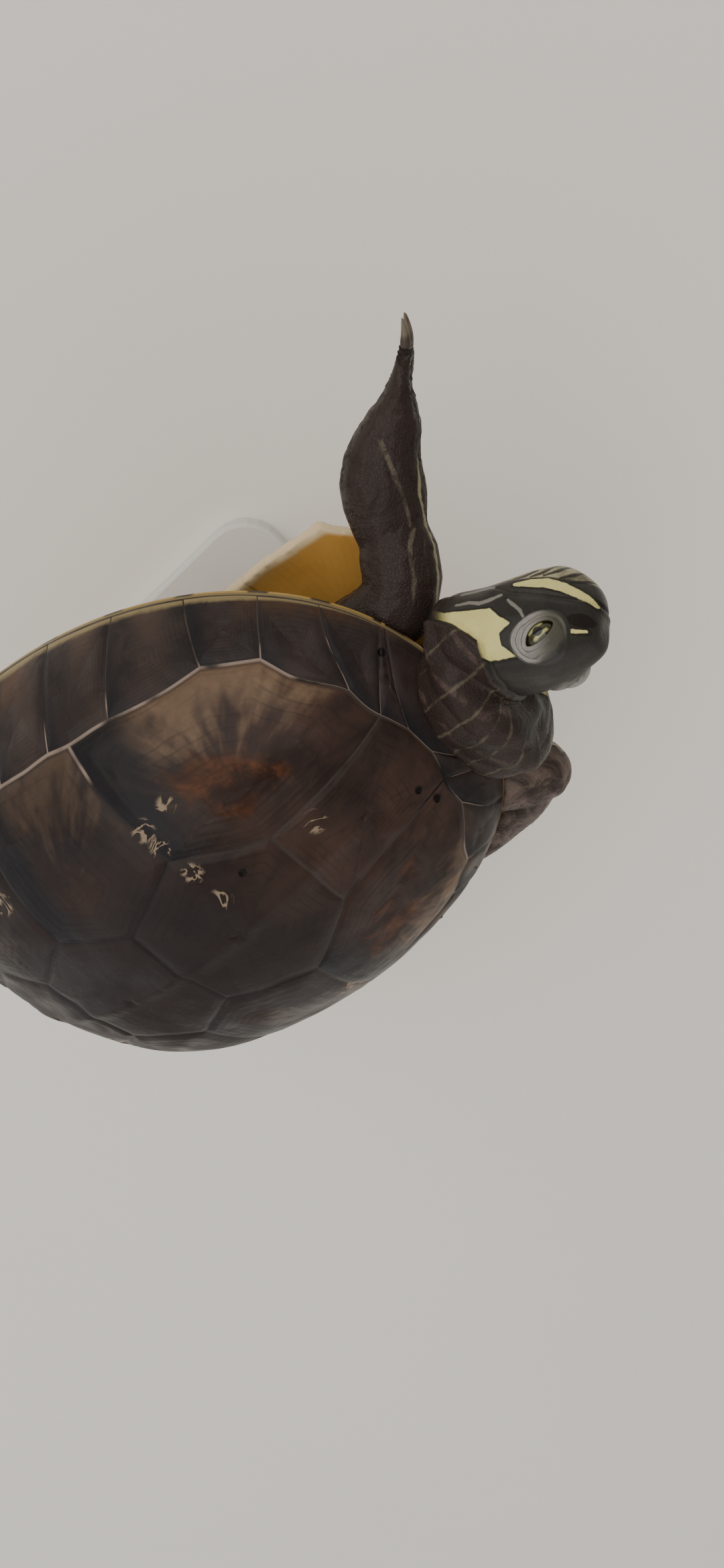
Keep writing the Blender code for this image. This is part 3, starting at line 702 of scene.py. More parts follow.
# %% Carapace horn: what each point knows
def horn_facts(wire):
    """Where a point lies in its plate, and the noises that the pattern is mixed from."""
    coords = wire.coords()
    aft, rimward, share = wire.parts(wire.read("place"))
    kind, seed, turn = wire.parts(wire.read("sort"))
    nose = wire.parts(coords)[0]
    # rays: a noise that is read round the first horn and slowly outward
    angle = wire.times(turn, 2 * math.pi)
    ray_at = wire.node("ShaderNodeCombineXYZ",
                       {0: wire.times(wire.math("COSINE", angle), 4.2),
                        1: wire.times(wire.math("SINE", angle), 4.2),
                        2: wire.plus(wire.times(share, 2.6), wire.times(seed, 30.0))})
    return SimpleNamespace(
        coords=coords, nose=nose, aft=aft, rimward=rimward, share=share, seed=seed,
        is_costal=wire.math("COMPARE", kind, COSTAL),
        is_rim=wire.math("COMPARE", kind, MARGINAL),
        is_under=wire.math("COMPARE", kind, UNDERSIDE),
        ahead=wire.step(nose, 0.005, 0.060),
        rays=wire.noise(ray_at.outputs[0], 1.0, 2.0, 0.55),
        cloud=wire.noise(coords, 26.0, 4.0, 0.6),
        mottle=wire.noise(coords, 95.0, 4.0, 0.65, 0.6),
        fleck=wire.noise(coords, 420.0, 3.0, 0.7))


# %% Carapace horn: the browns, darker toward the rear
def brown_horn(wire, horn):
    """Dark and warm browns in clouds, with faint dark rays."""
    dark = wire.mix(horn.cloud, rgb(0.012, 0.009, 0.009), rgb(0.030, 0.019, 0.016))
    warm = wire.mix(horn.mottle, rgb(0.040, 0.022, 0.017), rgb(0.074, 0.042, 0.031))
    warm_share = wire.times(wire.step(horn.cloud, 0.30, 0.60),
                            wire.plus(0.30, wire.times(horn.ahead, 0.65)))
    colour = wire.mix(warm_share, dark, warm)
    colour = wire.tint(colour, wire.step(horn.rays, 0.50, 0.30), 0.35,
                       rgb(0.016, 0.012, 0.011))
    return wire.tint(colour, wire.minus(1.0, horn.ahead), 0.55, rgb(0.013, 0.010, 0.010))


# %% Carapace horn: the pattern of the side plates
def side_plates(wire, horn, colour):
    """A tan band of rays, a rusty first horn and a blue-black rear on each of them."""
    # the band lies in the outer third, short of the plate's rear
    inner = wire.plus(horn.rimward, wire.swing(horn.rays, 0.55))
    inner = wire.plus(inner, wire.swing(horn.mottle, 0.18))
    band = wire.times(wire.step(inner, 0.54, 0.80), wire.step(horn.aft, 0.96, 0.80))
    band = wire.times(wire.times(band, wire.step(horn.share, 0.99, 0.95)), horn.is_costal)
    tan = wire.mix(horn.fleck, rgb(0.120, 0.076, 0.046), rgb(0.240, 0.160, 0.100))
    tan = wire.mix(wire.step(horn.cloud, 0.40, 0.60),
                   wire.mix(0.5, tan, rgb(0.085, 0.050, 0.032)), tan)
    colour = wire.tint(colour, band, wire.plus(0.24, wire.times(horn.ahead, 0.71)), tan)

    # the first horn is rusty, most of all on the front pair
    blur = wire.noise(horn.coords, 70.0, 3.0, 0.6, 0.5)
    ragged = wire.plus(horn.share, wire.swing(blur, 1.1))
    first = wire.times(wire.step(ragged, 0.46, 0.20), horn.is_costal)
    rust = wire.mix(wire.step(horn.mottle, 0.38, 0.66), rgb(0.020, 0.007, 0.004),
                    rgb(0.105, 0.034, 0.010))
    colour = wire.tint(colour, first, wire.plus(0.12, wire.times(horn.ahead, 0.78)), rust)

    # the rear margin is blue-black
    late = wire.step(wire.plus(horn.aft, wire.swing(horn.cloud, 0.5)), 0.60, 0.82)
    late = wire.times(late, horn.is_costal)
    return wire.tint(colour, late, 0.92, rgb(0.009, 0.008, 0.010))


# %% Carapace horn: the rim plates, above and below
def rim_plates(wire, horn):
    """Soft pale patches ahead, rust near the edge, dark behind, and a yellow fringe."""
    colour = wire.mix(horn.cloud, rgb(0.013, 0.011, 0.012), rgb(0.034, 0.024, 0.021))
    colour = wire.tint(colour, wire.step(horn.mottle, 0.42, 0.66), 0.45,
                       rgb(0.050, 0.034, 0.030))
    patch = wire.math("ABSOLUTE", wire.minus(horn.aft, 0.36))
    patch = wire.plus(patch, wire.times(horn.mottle, 0.35))
    patch = wire.times(wire.step(patch, 0.46, 0.22),
                       wire.step(wire.noise(horn.coords, 17.0, 1.0), 0.40, 0.58))
    colour = wire.tint(colour, patch, 0.60, rgb(0.095, 0.060, 0.043))
    rust = wire.times(wire.step(horn.rimward, 0.90, 0.98), wire.step(horn.cloud, 0.44, 0.62))
    colour = wire.tint(colour, rust, 0.7, rgb(0.085, 0.040, 0.016))
    blotch = wire.step(wire.plus(horn.aft, wire.times(horn.mottle, 0.4)), 0.90, 1.12)
    colour = wire.tint(colour, blotch, 0.8, rgb(0.010, 0.009, 0.011))
    fringe = wire.plus(horn.rimward, wire.times(horn.mottle, 0.014))
    return wire.mix(wire.step(fringe, 0.992, 1.003), colour, rgb(0.230, 0.175, 0.085))


def under_rim(wire, horn):
    """Yellow with a dark blotch at each seam."""
    spot = wire.math("ABSOLUTE", wire.minus(horn.aft, 0.5))
    spot = wire.step(wire.plus(spot, wire.times(horn.mottle, 0.2)), 0.42, 0.50)
    colour = wire.mix(spot, rgb(0.42, 0.27, 0.075), rgb(0.030, 0.020, 0.016))
    top_edge = wire.step(horn.rimward, 0.16, 0.05)
    return wire.mix(top_edge, colour, rgb(0.200, 0.150, 0.070))


# %% Carapace horn: seams
def draw_seams(wire, horn, colour):
    """Dark seams, which flake pale along the rim plates."""
    outer = wire.times(wire.step(horn.rimward, 0.66, 0.71), horn.is_costal)
    inner_rim = wire.times(wire.step(horn.rimward, 0.87, 0.82), horn.is_rim)
    front = wire.step(horn.nose, 0.075, 0.100)
    inner_rim = wire.times(inner_rim, wire.minus(1.0, front))
    outer = wire.math("MAXIMUM", outer, inner_rim)
    outer = wire.math("MAXIMUM", outer, wire.times(horn.ahead, 0.18))
    flaky = wire.times(wire.step(wire.noise(horn.coords, 60.0, 3.0), 0.34, 0.50), outer)
    paint = wire.tint(rgb(0.013, 0.010, 0.010), flaky, 0.85, rgb(0.270, 0.205, 0.165))
    return wire.mix(wire.step(horn.share, 0.972, 0.992), colour, paint)


# %% Carapace horn: small old damage
# pits in the horn: distance from the front, from the midline, and radius in mm
PITS = ((0.262, 0.060, 1.1), (0.085, -0.039, 1.0), (0.080, -0.070, 1.2), (0.030, 0.105, 1.0))
# places where thin flakes of old horn have lifted; the last number is the reach in mm
FLAKES = ((0.319, 0.169, 3.6), (0.314, 0.144, 3.4), (0.279, 0.172, 3.0), (0.172, 0.041, 3.6),
          (0.303, 0.099, 3.2), (0.304, 0.053, 3.6), (0.57, 0.20, 4.5), (0.71, -0.09, 4.5),
          (0.35, -0.22, 4.5))


def dome_spots(wire, coords, ragged, rows, wide, narrow):
    """1 close to any of the places given as distance from the front, side and radius."""
    found = None
    for front, y, radius in rows:
        spot = Vector((0.5 - front, y, float(dome_height(np.float64(0.5 - front), y)))) * CL
        gap = wire.node("ShaderNodeVectorMath", {0: coords, 1: tuple(POSE @ spot)},
                        operation="DISTANCE").outputs["Value"]
        near = wire.step(wire.times(gap, ragged), radius * MM * wide, radius * MM * narrow)
        found = near if found is None else wire.math("MAXIMUM", found, near)
    return found


print("pits and lifted flakes:", len(PITS), "and", len(FLAKES))

# %% Carapace horn, put together
def carapace_finish():
    """Dark brown horn: tan rays, rusty first horn, blue-black rears and a few pale seams."""
    made, wire, shader = finish("carapace_horn", coat_weight=0.06, coat_roughness=0.10,
                                specular_ior_level=0.10)
    horn = horn_facts(wire)
    rings = wire.group(RINGS, {"Share": horn.share, "Seed": horn.seed, "Count": 10.0})
    colour = side_plates(wire, horn, brown_horn(wire, horn))
    colour = wire.mix(horn.is_rim, colour, rim_plates(wire, horn))
    colour = wire.mix(horn.is_under, colour, under_rim(wire, horn))
    colour = wire.tint(colour, rings["Line"], 0.30, rgb(0.012, 0.009, 0.008))
    colour = draw_seams(wire, horn, colour)

    # lifted flakes have gone pale; pits are dark
    ragged = wire.plus(0.7, wire.times(horn.mottle, 0.6))
    crack = wire.minus(wire.noise(horn.coords, 110.0, 3.0, 0.6, 1.2), 0.5)
    flake = wire.times(wire.step(wire.math("ABSOLUTE", crack), 0.040, 0.018),
                       dome_spots(wire, horn.coords, ragged, FLAKES, 1.0, 0.6))
    colour = wire.tint(colour, flake, 0.85, rgb(0.260, 0.190, 0.130))
    pits = dome_spots(wire, horn.coords, ragged, PITS, 1.3, 0.6)
    colour = wire.mix(pits, colour, rgb(0.006, 0.004, 0.004))

    height = wire.plus(wire.times(rings["Height"], 0.5), wire.times(horn.fleck, 0.22))
    height = wire.plus(height, wire.times(horn.mottle, 0.7))
    height = wire.plus(height, wire.times(flake, 0.8))
    height = wire.minus(height, wire.times(pits, 2.5))
    film = wire.group(FILM, {"Dry": 0.56, "Wet": 0.34, "Patch": 45.0})
    dress(wire, shader, colour, film["Roughness"], wire.bump(height, 0.00035))
    return made


add_piece("carapace_plates", build_carapace(), carapace_finish(), ["carapace"])

# %% [markdown]
# ## The plastron
# The under shell is a flat plate of twelve paired plates with a bridge up each side.  Its
# solid has the right shape, so a finer copy of it is enough: the copy is remeshed, and
# its seams are pressed in by their distance from a few curves.

# %% Finer copies of solids
def solid_copy(node):
    """A loose copy of one solid's mesh."""
    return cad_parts[node].data.copy()


def modified(mesh, kind, **settings):
    """The mesh that one modifier makes of another."""
    holder = bpy.data.objects.new("holder", mesh)
    bpy.context.scene.collection.objects.link(holder)
    change = holder.modifiers.new("change", kind)
    for name, value in settings.items():
        setattr(change, name, value)
    bpy.context.view_layer.update()
    graph = bpy.context.evaluated_depsgraph_get()
    made = bpy.data.meshes.new_from_object(holder.evaluated_get(graph))
    bpy.data.objects.remove(holder, do_unlink=True)
    return made


def remeshed(mesh, size):
    """The mesh rebuilt from even small cubes."""
    return modified(mesh, "REMESH", mode="VOXEL", voxel_size=size)


def edge_pairs(mesh):
    """The mesh's edges as an array of vertex pairs."""
    flat = np.empty(len(mesh.edges) * 2, dtype=np.int32)
    mesh.edges.foreach_get("vertices", flat)
    return flat.reshape(-1, 2)


def relaxed(points, pairs, rounds, hold=None):
    """Smooth points toward their neighbours and back out, so that they keep their volume."""
    a, b = pairs[:, 0], pairs[:, 1]
    total = len(points)
    degree = np.bincount(a, minlength=total) + np.bincount(b, minlength=total)
    degree = np.maximum(degree, 1)[:, None]
    weight = np.ones((total, 1)) if hold is None else (1 - hold)[:, None]
    for k in range(rounds * 2):
        pull = 0.60 if k % 2 == 0 else -0.61
        mean = np.empty_like(points)
        for axis in range(3):
            column = points[:, axis]
            mean[:, axis] = (np.bincount(a, column[b], total)
                             + np.bincount(b, column[a], total))
        points = points + pull * weight * (mean / degree - points)
    return points


def set_points(mesh, points):
    """Move a mesh's vertices to an array of places."""
    mesh.vertices.foreach_set("co", np.asarray(points, dtype=np.float32).ravel())
    mesh.update()


def vertex_normals(mesh):
    """The mesh's vertex normals as an array."""
    flat = np.empty(len(mesh.vertices) * 3, dtype=np.float32)
    mesh.vertex_normals.foreach_get("vector", flat)
    return flat.reshape(-1, 3).astype(float)


print("vertices of the plastron's solid:", len(solid_copy("plastron").vertices))

# %% The plastron's seams
# where each seam leaves the midline, how far it slants forward to the side, and its bow
BELLY_SEAMS = ((0.095, -0.55, 0.0), (0.205, -0.20, 0.6), (0.330, -0.05, 0.9),
               (0.560, 0.02, -0.5), (0.720, 0.18, -0.9))
BELLY_GROOVE = 0.35 * MM        # depth of a seam
BELLY_CELL = 1.0 * MM
BELLY_BINS = 60                 # slices along it, in which its width is measured


def belly_distance(front, far):
    """Distance from the nearest seam of the plastron, in shares of CL."""
    nearest = far
    for start, slant, bow in BELLY_SEAMS:
        line = start + slant * far + bow * far ** 2
        nearest = np.minimum(nearest, np.abs(front - line))
    return nearest


def build_plastron():
    """A finer plastron with pressed seams."""
    mesh = remeshed(solid_copy("plastron"), BELLY_CELL)
    points = relaxed(mesh_points(mesh), edge_pairs(mesh), 6)
    set_points(mesh, points)
    normals = vertex_normals(mesh)
    body = moved(UNPOSE, points) / CL
    front = 0.5 - body[:, 0]
    far = np.abs(body[:, 1])
    dent = bell(belly_distance(front, far) * CL, 0.8 * MM)
    down = np.clip(-normals[:, 2] * 2, 0, 1)
    set_points(mesh, points - normals * (BELLY_GROOVE * dent * down)[:, None])
    bins = np.clip((front * BELLY_BINS).astype(int), 0, BELLY_BINS - 1)
    widest = np.zeros(BELLY_BINS)
    np.maximum.at(widest, bins, far)
    reach = np.interp(front, (np.arange(BELLY_BINS) + 0.5) / BELLY_BINS, widest)
    margin = np.minimum(reach - far, front - front.min()) * CL / MM
    store(mesh, "belly", np.column_stack([front, body[:, 1], margin]))
    return mesh


def plastron_finish():
    """Orange-yellow horn with a painted highlight along its front edges and, weaker, on the
    bridge; a few dark smudges and fine seams.
    """
    made, wire, shader = finish("plastron_horn", coat_weight=0.12, coat_roughness=0.12,
                                specular_ior_level=0.25)
    coords = wire.coords()
    front, across, margin = wire.parts(wire.read("belly"))
    far = wire.math("ABSOLUTE", across)
    mottle = wire.noise(coords, 70.0, 4.0, 0.6)
    fleck = wire.noise(coords, 500.0, 3.0, 0.7)
    nearest = far
    for start, slant, bow in BELLY_SEAMS:
        bend = wire.times(far, wire.times(far, bow))
        place = wire.plus(wire.times(far, slant), bend)
        gap = wire.minus(front, wire.plus(place, start))
        nearest = wire.math("MINIMUM", nearest, wire.math("ABSOLUTE", gap))
    rings = wire.group(RINGS, {"Share": wire.times(nearest, 14.0), "Seed": 0.2, "Count": 6.0})
    colour = wire.mix(mottle, rgb(0.38, 0.185, 0.038), rgb(0.52, 0.285, 0.070))
    margin = wire.plus(margin, wire.times(mottle, 2.0))
    # painted highlight: pale cream along the front edges, and weaker over the bridge's side wall
    edge = wire.times(wire.step(margin, 5.0, 3.2), wire.step(front, 0.32, 0.22))
    side_wall = wire.step(far, 0.20, 0.25)
    pale = wire.math("MAXIMUM", edge, wire.times(side_wall, 0.35))
    colour = wire.tint(colour, pale, 0.85, rgb(0.66, 0.53, 0.33))
    smudge = wire.plus(wire.noise(coords, 34.0, 3.0), wire.times(side_wall, 0.07))
    smudge = wire.step(smudge, 0.60, 0.67)
    colour = wire.tint(colour, smudge, 0.75, rgb(0.050, 0.030, 0.018))
    colour = wire.tint(colour, rings["Line"], 0.12, rgb(0.20, 0.105, 0.04))
    # seams show less under the painted highlight
    seam = wire.minus(0.75, wire.times(pale, 0.60))
    seam = wire.times(wire.step(nearest, 0.0022, 0.0008), seam)
    colour = wire.mix(seam, colour, rgb(0.16, 0.085, 0.035))
    film = wire.group(FILM, {"Dry": 0.45, "Wet": 0.25, "Patch": 40.0})
    height = wire.plus(wire.times(rings["Height"], 0.30), wire.times(fleck, 0.25))
    dress(wire, shader, colour, film["Roughness"], wire.bump(height, 0.00012))
    return made


add_piece("plastron_plates", build_plastron(), plastron_finish(),
          ["plastron"])

# %% [markdown]
# ## The skin
# Head, neck, limbs, webs and tail wear one skin.  Joining the solids as they are would
# leave a gap at every joint, so each is swollen a hair until neighbours overlap, and all
# are rebuilt together from small cubes, which melts them into one surface.  Smoothing
# then takes out the flat facets.  A sculpted mesh would do as well, but could not be
# written down as a few rules.

# %% One mesh from all the flesh
# each limb with its number of claws
LIMBS = {"foreleg_left": 5, "foreleg_right": 5, "hindleg_left": 4, "hindleg_right": 4}
LIMB_PARTS = ("upper", "lower", "foot")
FLESH = ["trunk", "neck", "head", "jaw", "tail"]
for limb in LIMBS:
    FLESH += [f"{limb}_{part}" for part in LIMB_PARTS]
SWELL = 0.28 * MM               # closes the 0.3 mm gaps between the solids
SKIN_CELL = 0.80 * MM
TRUNK_TOP = 0.004               # flesh above this is out of sight inside the shell
FLESH_WELD = 0.01 * MM
BOX_SLACK = MM                  # how far outside its solid's box a foot may reach


def swollen(bm, by):
    """Move every vertex out along its normal."""
    bm.normal_update()
    goals = [(v, v.co + v.normal * v.calc_shell_factor() * by) for v in bm.verts]
    for vert, goal in goals:
        vert.co = goal


def flesh_mesh():
    """All the flesh solids, swollen, in one mesh."""
    whole = bmesh.new()
    for node in FLESH:
        bm = bmesh.new()
        bm.from_mesh(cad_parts[node].data)
        bmesh.ops.remove_doubles(bm, verts=bm.verts, dist=FLESH_WELD)
        if node == "trunk":
            up = (POSE.to_3x3() @ Vector((0, 0, 1))).normalized()
            cut = bmesh.ops.bisect_plane(bm, geom=bm.verts[:] + bm.edges[:] + bm.faces[:],
                                         plane_co=POSE @ Vector((0, 0, TRUNK_TOP * CL)),
                                         plane_no=up, clear_outer=True)
            rim = [e for e in cut["geom_cut"] if isinstance(e, bmesh.types.BMEdge)]
            bmesh.ops.edgeloop_fill(bm, edges=rim)
        swollen(bm, SWELL if node != "trunk" else 0.0)
        made = bpy.data.meshes.new(node + "_copy")
        bm.to_mesh(made)
        bm.free()
        whole.from_mesh(made)
    mesh = bpy.data.meshes.new("flesh")
    whole.to_mesh(mesh)
    whole.free()
    return mesh


print("solids under the skin:", len(FLESH))

# %% Where each part of the skin lies
def head_places(points):
    """Places in the head's frame, in shares of the head's length."""
    return moved(HEAD.inverted(), points) / HEAD_LENGTH


def head_share(points):
    """1 on the skull, 0 on the neck and body."""
    along, y, z = head_places(points).T
    return smooth(along, 0.02, 0.20) * smooth(np.hypot(y, z), 0.72, 0.55)


def split_faces(mesh, chosen):
    """Cut every chosen quad into four."""
    bm = bmesh.new()
    bm.from_mesh(mesh)
    bm.verts.ensure_lookup_table()
    edges = [e for e in bm.edges if chosen[e.verts[0].index] and chosen[e.verts[1].index]]
    bmesh.ops.subdivide_edges(bm, edges=edges, cuts=1, use_grid_fill=True, smooth=0.0)
    bm.to_mesh(mesh)
    bm.free()
    return mesh


def build_skin_base():
    """The melted skin, finer on the head."""
    mesh = remeshed(flesh_mesh(), SKIN_CELL)
    points = mesh_points(mesh)
    foot = np.zeros(len(points))
    for limb in LIMBS:
        low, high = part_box(f"{limb}_foot")
        inside = np.all((points > np.array(low) - BOX_SLACK)
                        & (points < np.array(high) + BOX_SLACK), axis=1)
        foot = np.maximum(foot, inside * 0.75)
    points = relaxed(points, edge_pairs(mesh), 26, foot)
    set_points(mesh, points)
    split_faces(mesh, head_share(points) > 0.01)
    points = mesh_points(mesh)
    hold = 1 - smooth(head_share(points), 0.0, 0.3)
    set_points(mesh, relaxed(points, edge_pairs(mesh), 8, hold))
    return mesh


skin_mesh = build_skin_base()
print("skin base:", len(skin_mesh.polygons), "faces")

# %% [markdown]
# ## Carving the skin
# The rebuilt skin is a smooth blank.  What makes it an animal is pressed into it now:
# the mouth line, the nostrils, loose folds where the neck comes out of the shell, and
# wrinkles round the joints.

# %% Mouth, nostrils, collar and folds
NECK_FROM = Vector((0.345, -0.055, -0.050)) * CL
NECK_TO = Vector((0.560, 0.000, 0.010)) * CL
NOSTRIL = (0.962, 0.036, 0.016)     # in head lengths
FOLD_DEEP = 0.55 * MM
# loose neck skin lies over the back of the skull; along the skull and up, in head lengths
COLLAR = ((-0.40, -0.06), (0.00, -0.045), (0.09, -0.015), (0.20, 0.035), (0.32, 0.095),
          (0.39, 0.155), (0.405, 0.225), (0.395, 0.60), (-0.40, 0.60))
COLLAR_RISE = 0.85 * MM
FAR_OFF = 1e9                   # a distance that any real one is nearer than


def segment_gap(px, py, start, end):
    """Distance to the straight piece from start to end, and the share of the way on it."""
    (ax, ay), (bx, by) = start, end
    ex, ey = bx - ax, by - ay
    t = np.clip(((px - ax) * ex + (py - ay) * ey) / (ex * ex + ey * ey), 0, 1)
    return np.hypot(px - ax - t * ex, py - ay - t * ey), t


def polygon_distance(px, py, corners):
    """Signed distance to a closed polygon, negative inside."""
    corners = np.array(corners)
    nearest = np.full(len(px), FAR_OFF)
    inside = np.zeros(len(px), dtype=bool)
    for (ax, ay), (bx, by) in zip(corners, np.roll(corners, -1, axis=0)):
        nearest = np.minimum(nearest, segment_gap(px, py, (ax, ay), (bx, by))[0])
        crosses = (ay > py) != (by > py)
        at = ax + (py - ay) * (bx - ax) / ((by - ay) or 1e-9)
        inside ^= crosses & (px < at)
    return np.where(inside, -nearest, nearest)


def mouth_height(along):
    """Height of the mouth line over the skull's axis, in head lengths."""
    back = (1 - along) * math.tan(MOUTH_SLOPE)
    return -MOUTH_DROP / HEAD_LENGTH - back - 0.05 * smooth(along, 0.55, 0.30)


def noise_rows(points, scale, seed):
    """Smooth noise at each point; scale is one number, or three along the body's axes."""
    scale = np.asarray(scale) * np.ones(3)
    return np.array([noise.noise(Vector(p * scale) + Vector((seed, 0, 0))) for p in points])


print("mouth line at the snout's tip:", round(float(mouth_height(1.0)), 3), "head lengths")

# %% How far each feature lifts or dents the skin
def mouth_relief(along, up, on_head):
    """A narrow groove, with the horny beak standing over the lower jaw."""
    off = (up - mouth_height(along)) * HEAD_LENGTH
    mouth = on_head * smooth(along, 0.36, 0.44) * smooth(np.abs(off), 4 * MM, 2 * MM)
    beak = 0.22 * MM * bell(off, 0.7 * MM, 1.0 * MM)
    return (beak - 0.55 * MM * bell(off, 0.42 * MM)) * mouth


def nostril_relief(along, side, up):
    """Two nostrils at the tip of the snout."""
    dent = 0.0
    for hand in (1, -1):
        gap = np.sqrt((along - NOSTRIL[0]) ** 2 + (side - hand * NOSTRIL[1]) ** 2
                      + (up - NOSTRIL[2]) ** 2) * HEAD_LENGTH
        dent = dent - 0.75 * MM * bell(gap, 0.50 * MM)
    return dent


def collar_relief(ahead, along, side, up):
    """The collar of neck skin, thick-lipped, with a groove in front of it."""
    on_collar = smooth(along, -0.20, 0.05) * smooth(np.hypot(side, up), 0.72, 0.55)
    rise = COLLAR_RISE * smooth(ahead, 0.35 * MM, -0.65 * MM)
    lip = 0.35 * MM * bell(ahead, 0.8 * MM, -1.1 * MM)
    groove = 0.30 * MM * bell(ahead, 0.45 * MM, 0.65 * MM)
    return (rise + lip - groove) * on_collar


def neck_folds(body, bare):
    """How far each place is on a fold's crest, and how far it belongs to the neck."""
    neck_axis = np.array((NECK_TO - NECK_FROM).normalized())
    down_neck = (body - np.array(NECK_FROM)) @ neck_axis
    wander = noise_rows(body, 90.0, 1.0) * 2.2 * MM
    fold = np.abs(np.sin((down_neck + wander) / (3.1 * MM)))
    near_neck = smooth(down_neck, 0.0, 12 * MM) * (1 - bare)
    near_neck *= smooth(np.abs(body[:, 1] + 0.03 * CL), 0.17 * CL, 0.12 * CL)
    return fold, near_neck


def wrinkle_relief(points, soft):
    """Fine wrinkles where the skin is soft, and a slow unevenness everywhere."""
    wrinkle = noise_rows(points, (420.0, 420.0, 190.0), 9.0)
    crease = 0.30 * MM * np.clip(1 - np.abs(wrinkle) * 7, 0, 1) * soft
    return 0.25 * MM * noise_rows(points, 150.0, 5.0) - crease


# %% Carve the skin
def carve_skin(mesh):
    """Press the features into the skin; returns how far it is a crest of a neck fold."""
    points = mesh_points(mesh)
    normals = vertex_normals(mesh)
    on_head = head_share(points)
    along, side, up = head_places(points).T
    ahead = polygon_distance(along, up, COLLAR) * HEAD_LENGTH
    ahead += noise_rows(points, 220.0, 3.0) * 0.5 * MM
    bare = np.minimum(on_head, smooth(ahead, -3 * MM, 0.0))
    fold, near_neck = neck_folds(moved(UNPOSE, points), bare)
    lift = mouth_relief(along, up, on_head) + nostril_relief(along, side, up)
    lift += collar_relief(ahead, along, side, up)
    lift -= FOLD_DEEP * (1 - fold ** 0.5) * near_neck
    lift += wrinkle_relief(points, 1 - np.maximum(bare, near_neck))
    print("carved by", round(float(lift.min()) / MM, 2), "to", round(float(lift.max()) / MM, 2),
          "mm")
    set_points(mesh, points + normals * lift[:, None])
    return smooth(fold, 0.95, 1.0) * near_neck


store(skin_mesh, "crest", carve_skin(skin_mesh))

# %% [markdown]
# ## Markings
# A yellow-bellied slider is named for its plastron, but it is known by the broad yellow
# blotch behind the eye.  Stripes run along the jaw, the neck and the limbs.  Each mark is
# kept on the skin as a distance in millimetres, negative inside the mark, so that the
# material can draw its edge sharp at any size.  Painting an image would do it too, but
# needs a flat unwrap and loses the edge up close.

# %% Distance to a drawn stripe
def stripe_distance(px, py, rows):
    """Signed distance to a stripe through rows of x, y and half-width."""
    nearest = np.full(len(px), FAR_OFF)
    for (*start, wide), (*end, wide_end) in zip(rows, rows[1:]):
        gap, t = segment_gap(px, py, start, end)
        nearest = np.minimum(nearest, gap - (wide + (wide_end - wide) * t))
    return nearest


print("collar's corners:", len(COLLAR))

# %% The head's marks, seen from its side: along the skull and up, in head lengths
BLOTCH = ((-0.30, -0.20), (0.00, -0.12), (0.12, -0.060), (0.30, -0.045), (0.42, -0.055),
          (0.47, -0.010), (0.545, 0.037), (0.490, 0.100), (0.500, 0.165), (0.570, 0.210),
          (0.47, 0.230), (0.38, 0.230), (0.37, 0.140), (0.19, 0.020), (0.00, -0.050),
          (-0.30, -0.10))
JAW_STRIPE = ((0.53, -0.222, 0.014), (0.61, -0.230, 0.029), (0.70, -0.232, 0.034),
              (0.78, -0.213, 0.031), (0.85, -0.185, 0.027), (0.91, -0.157, 0.021),
              (0.955, -0.120, 0.013))
SNOUT_STRIPE = ((0.80, 0.062, 0.012), (0.87, 0.056, 0.011), (0.925, 0.046, 0.007))
GREY_STRIPES = (
    ((0.515, -0.107, 0.007), (0.548, -0.077, 0.009), (0.589, -0.043, 0.009),
     (0.616, 0.002, 0.006)),
    ((0.16, -0.095, 0.006), (0.28, -0.105, 0.012), (0.353, -0.090, 0.012),
     (0.417, -0.112, 0.012), (0.476, -0.138, 0.007)),
    ((0.10, -0.185, 0.010), (0.26, -0.200, 0.014), (0.40, -0.215, 0.010)),
)
DARK_STRIPES = (
    ((0.50, -0.280, 0.010), (0.56, -0.300, 0.016), (0.61, -0.345, 0.012)),
    ((0.60, -0.285, 0.008), (0.655, -0.320, 0.017), (0.70, -0.385, 0.012)),
    ((0.67, -0.290, 0.008), (0.735, -0.335, 0.015), (0.775, -0.400, 0.012)),
    ((0.76, -0.275, 0.008), (0.815, -0.310, 0.014), (0.85, -0.360, 0.010)),
    ((0.82, -0.250, 0.008), (0.870, -0.268, 0.014), (0.91, -0.300, 0.010)),
    ((0.92, -0.255, 0.012), (0.950, -0.200, 0.014), (0.970, -0.150, 0.008)),
)
SNOUT_PATCH = (0.895, -0.012, 0.068, 0.042)     # a dark patch: centre and half sizes


def head_marks(points):
    """Signed distances in mm to the yellow, grey and dark marks, and to the collar."""
    along, side, up = head_places(points).T
    rest = (1 - head_share(points)) * 0.4
    blotch = polygon_distance(along, up, BLOTCH)
    blotch = np.where(side < 0, np.maximum(blotch, up - 0.11), blotch)  # lower on the right
    yellow = np.minimum(blotch - rest,
                        stripe_distance(along, up, JAW_STRIPE))
    yellow = np.minimum(yellow, stripe_distance(along, up, SNOUT_STRIPE))
    grey = np.min([stripe_distance(along, up, rows) for rows in GREY_STRIPES], axis=0)
    dark = np.min([stripe_distance(along, up, rows) for rows in DARK_STRIPES], axis=0)
    x, y, half_x, half_y = SNOUT_PATCH
    patch = (np.hypot((along - x) / half_x, (up - y) / half_y) - 1) * half_y
    dark = np.minimum(dark, patch)
    collar = polygon_distance(along, up, COLLAR)
    return [(gap + rest) * HEAD_LENGTH / MM for gap in (yellow, grey, dark)] + [
        collar * HEAD_LENGTH / MM]


print("dark and grey lines on the head:", len(DARK_STRIPES), "and", len(GREY_STRIPES))

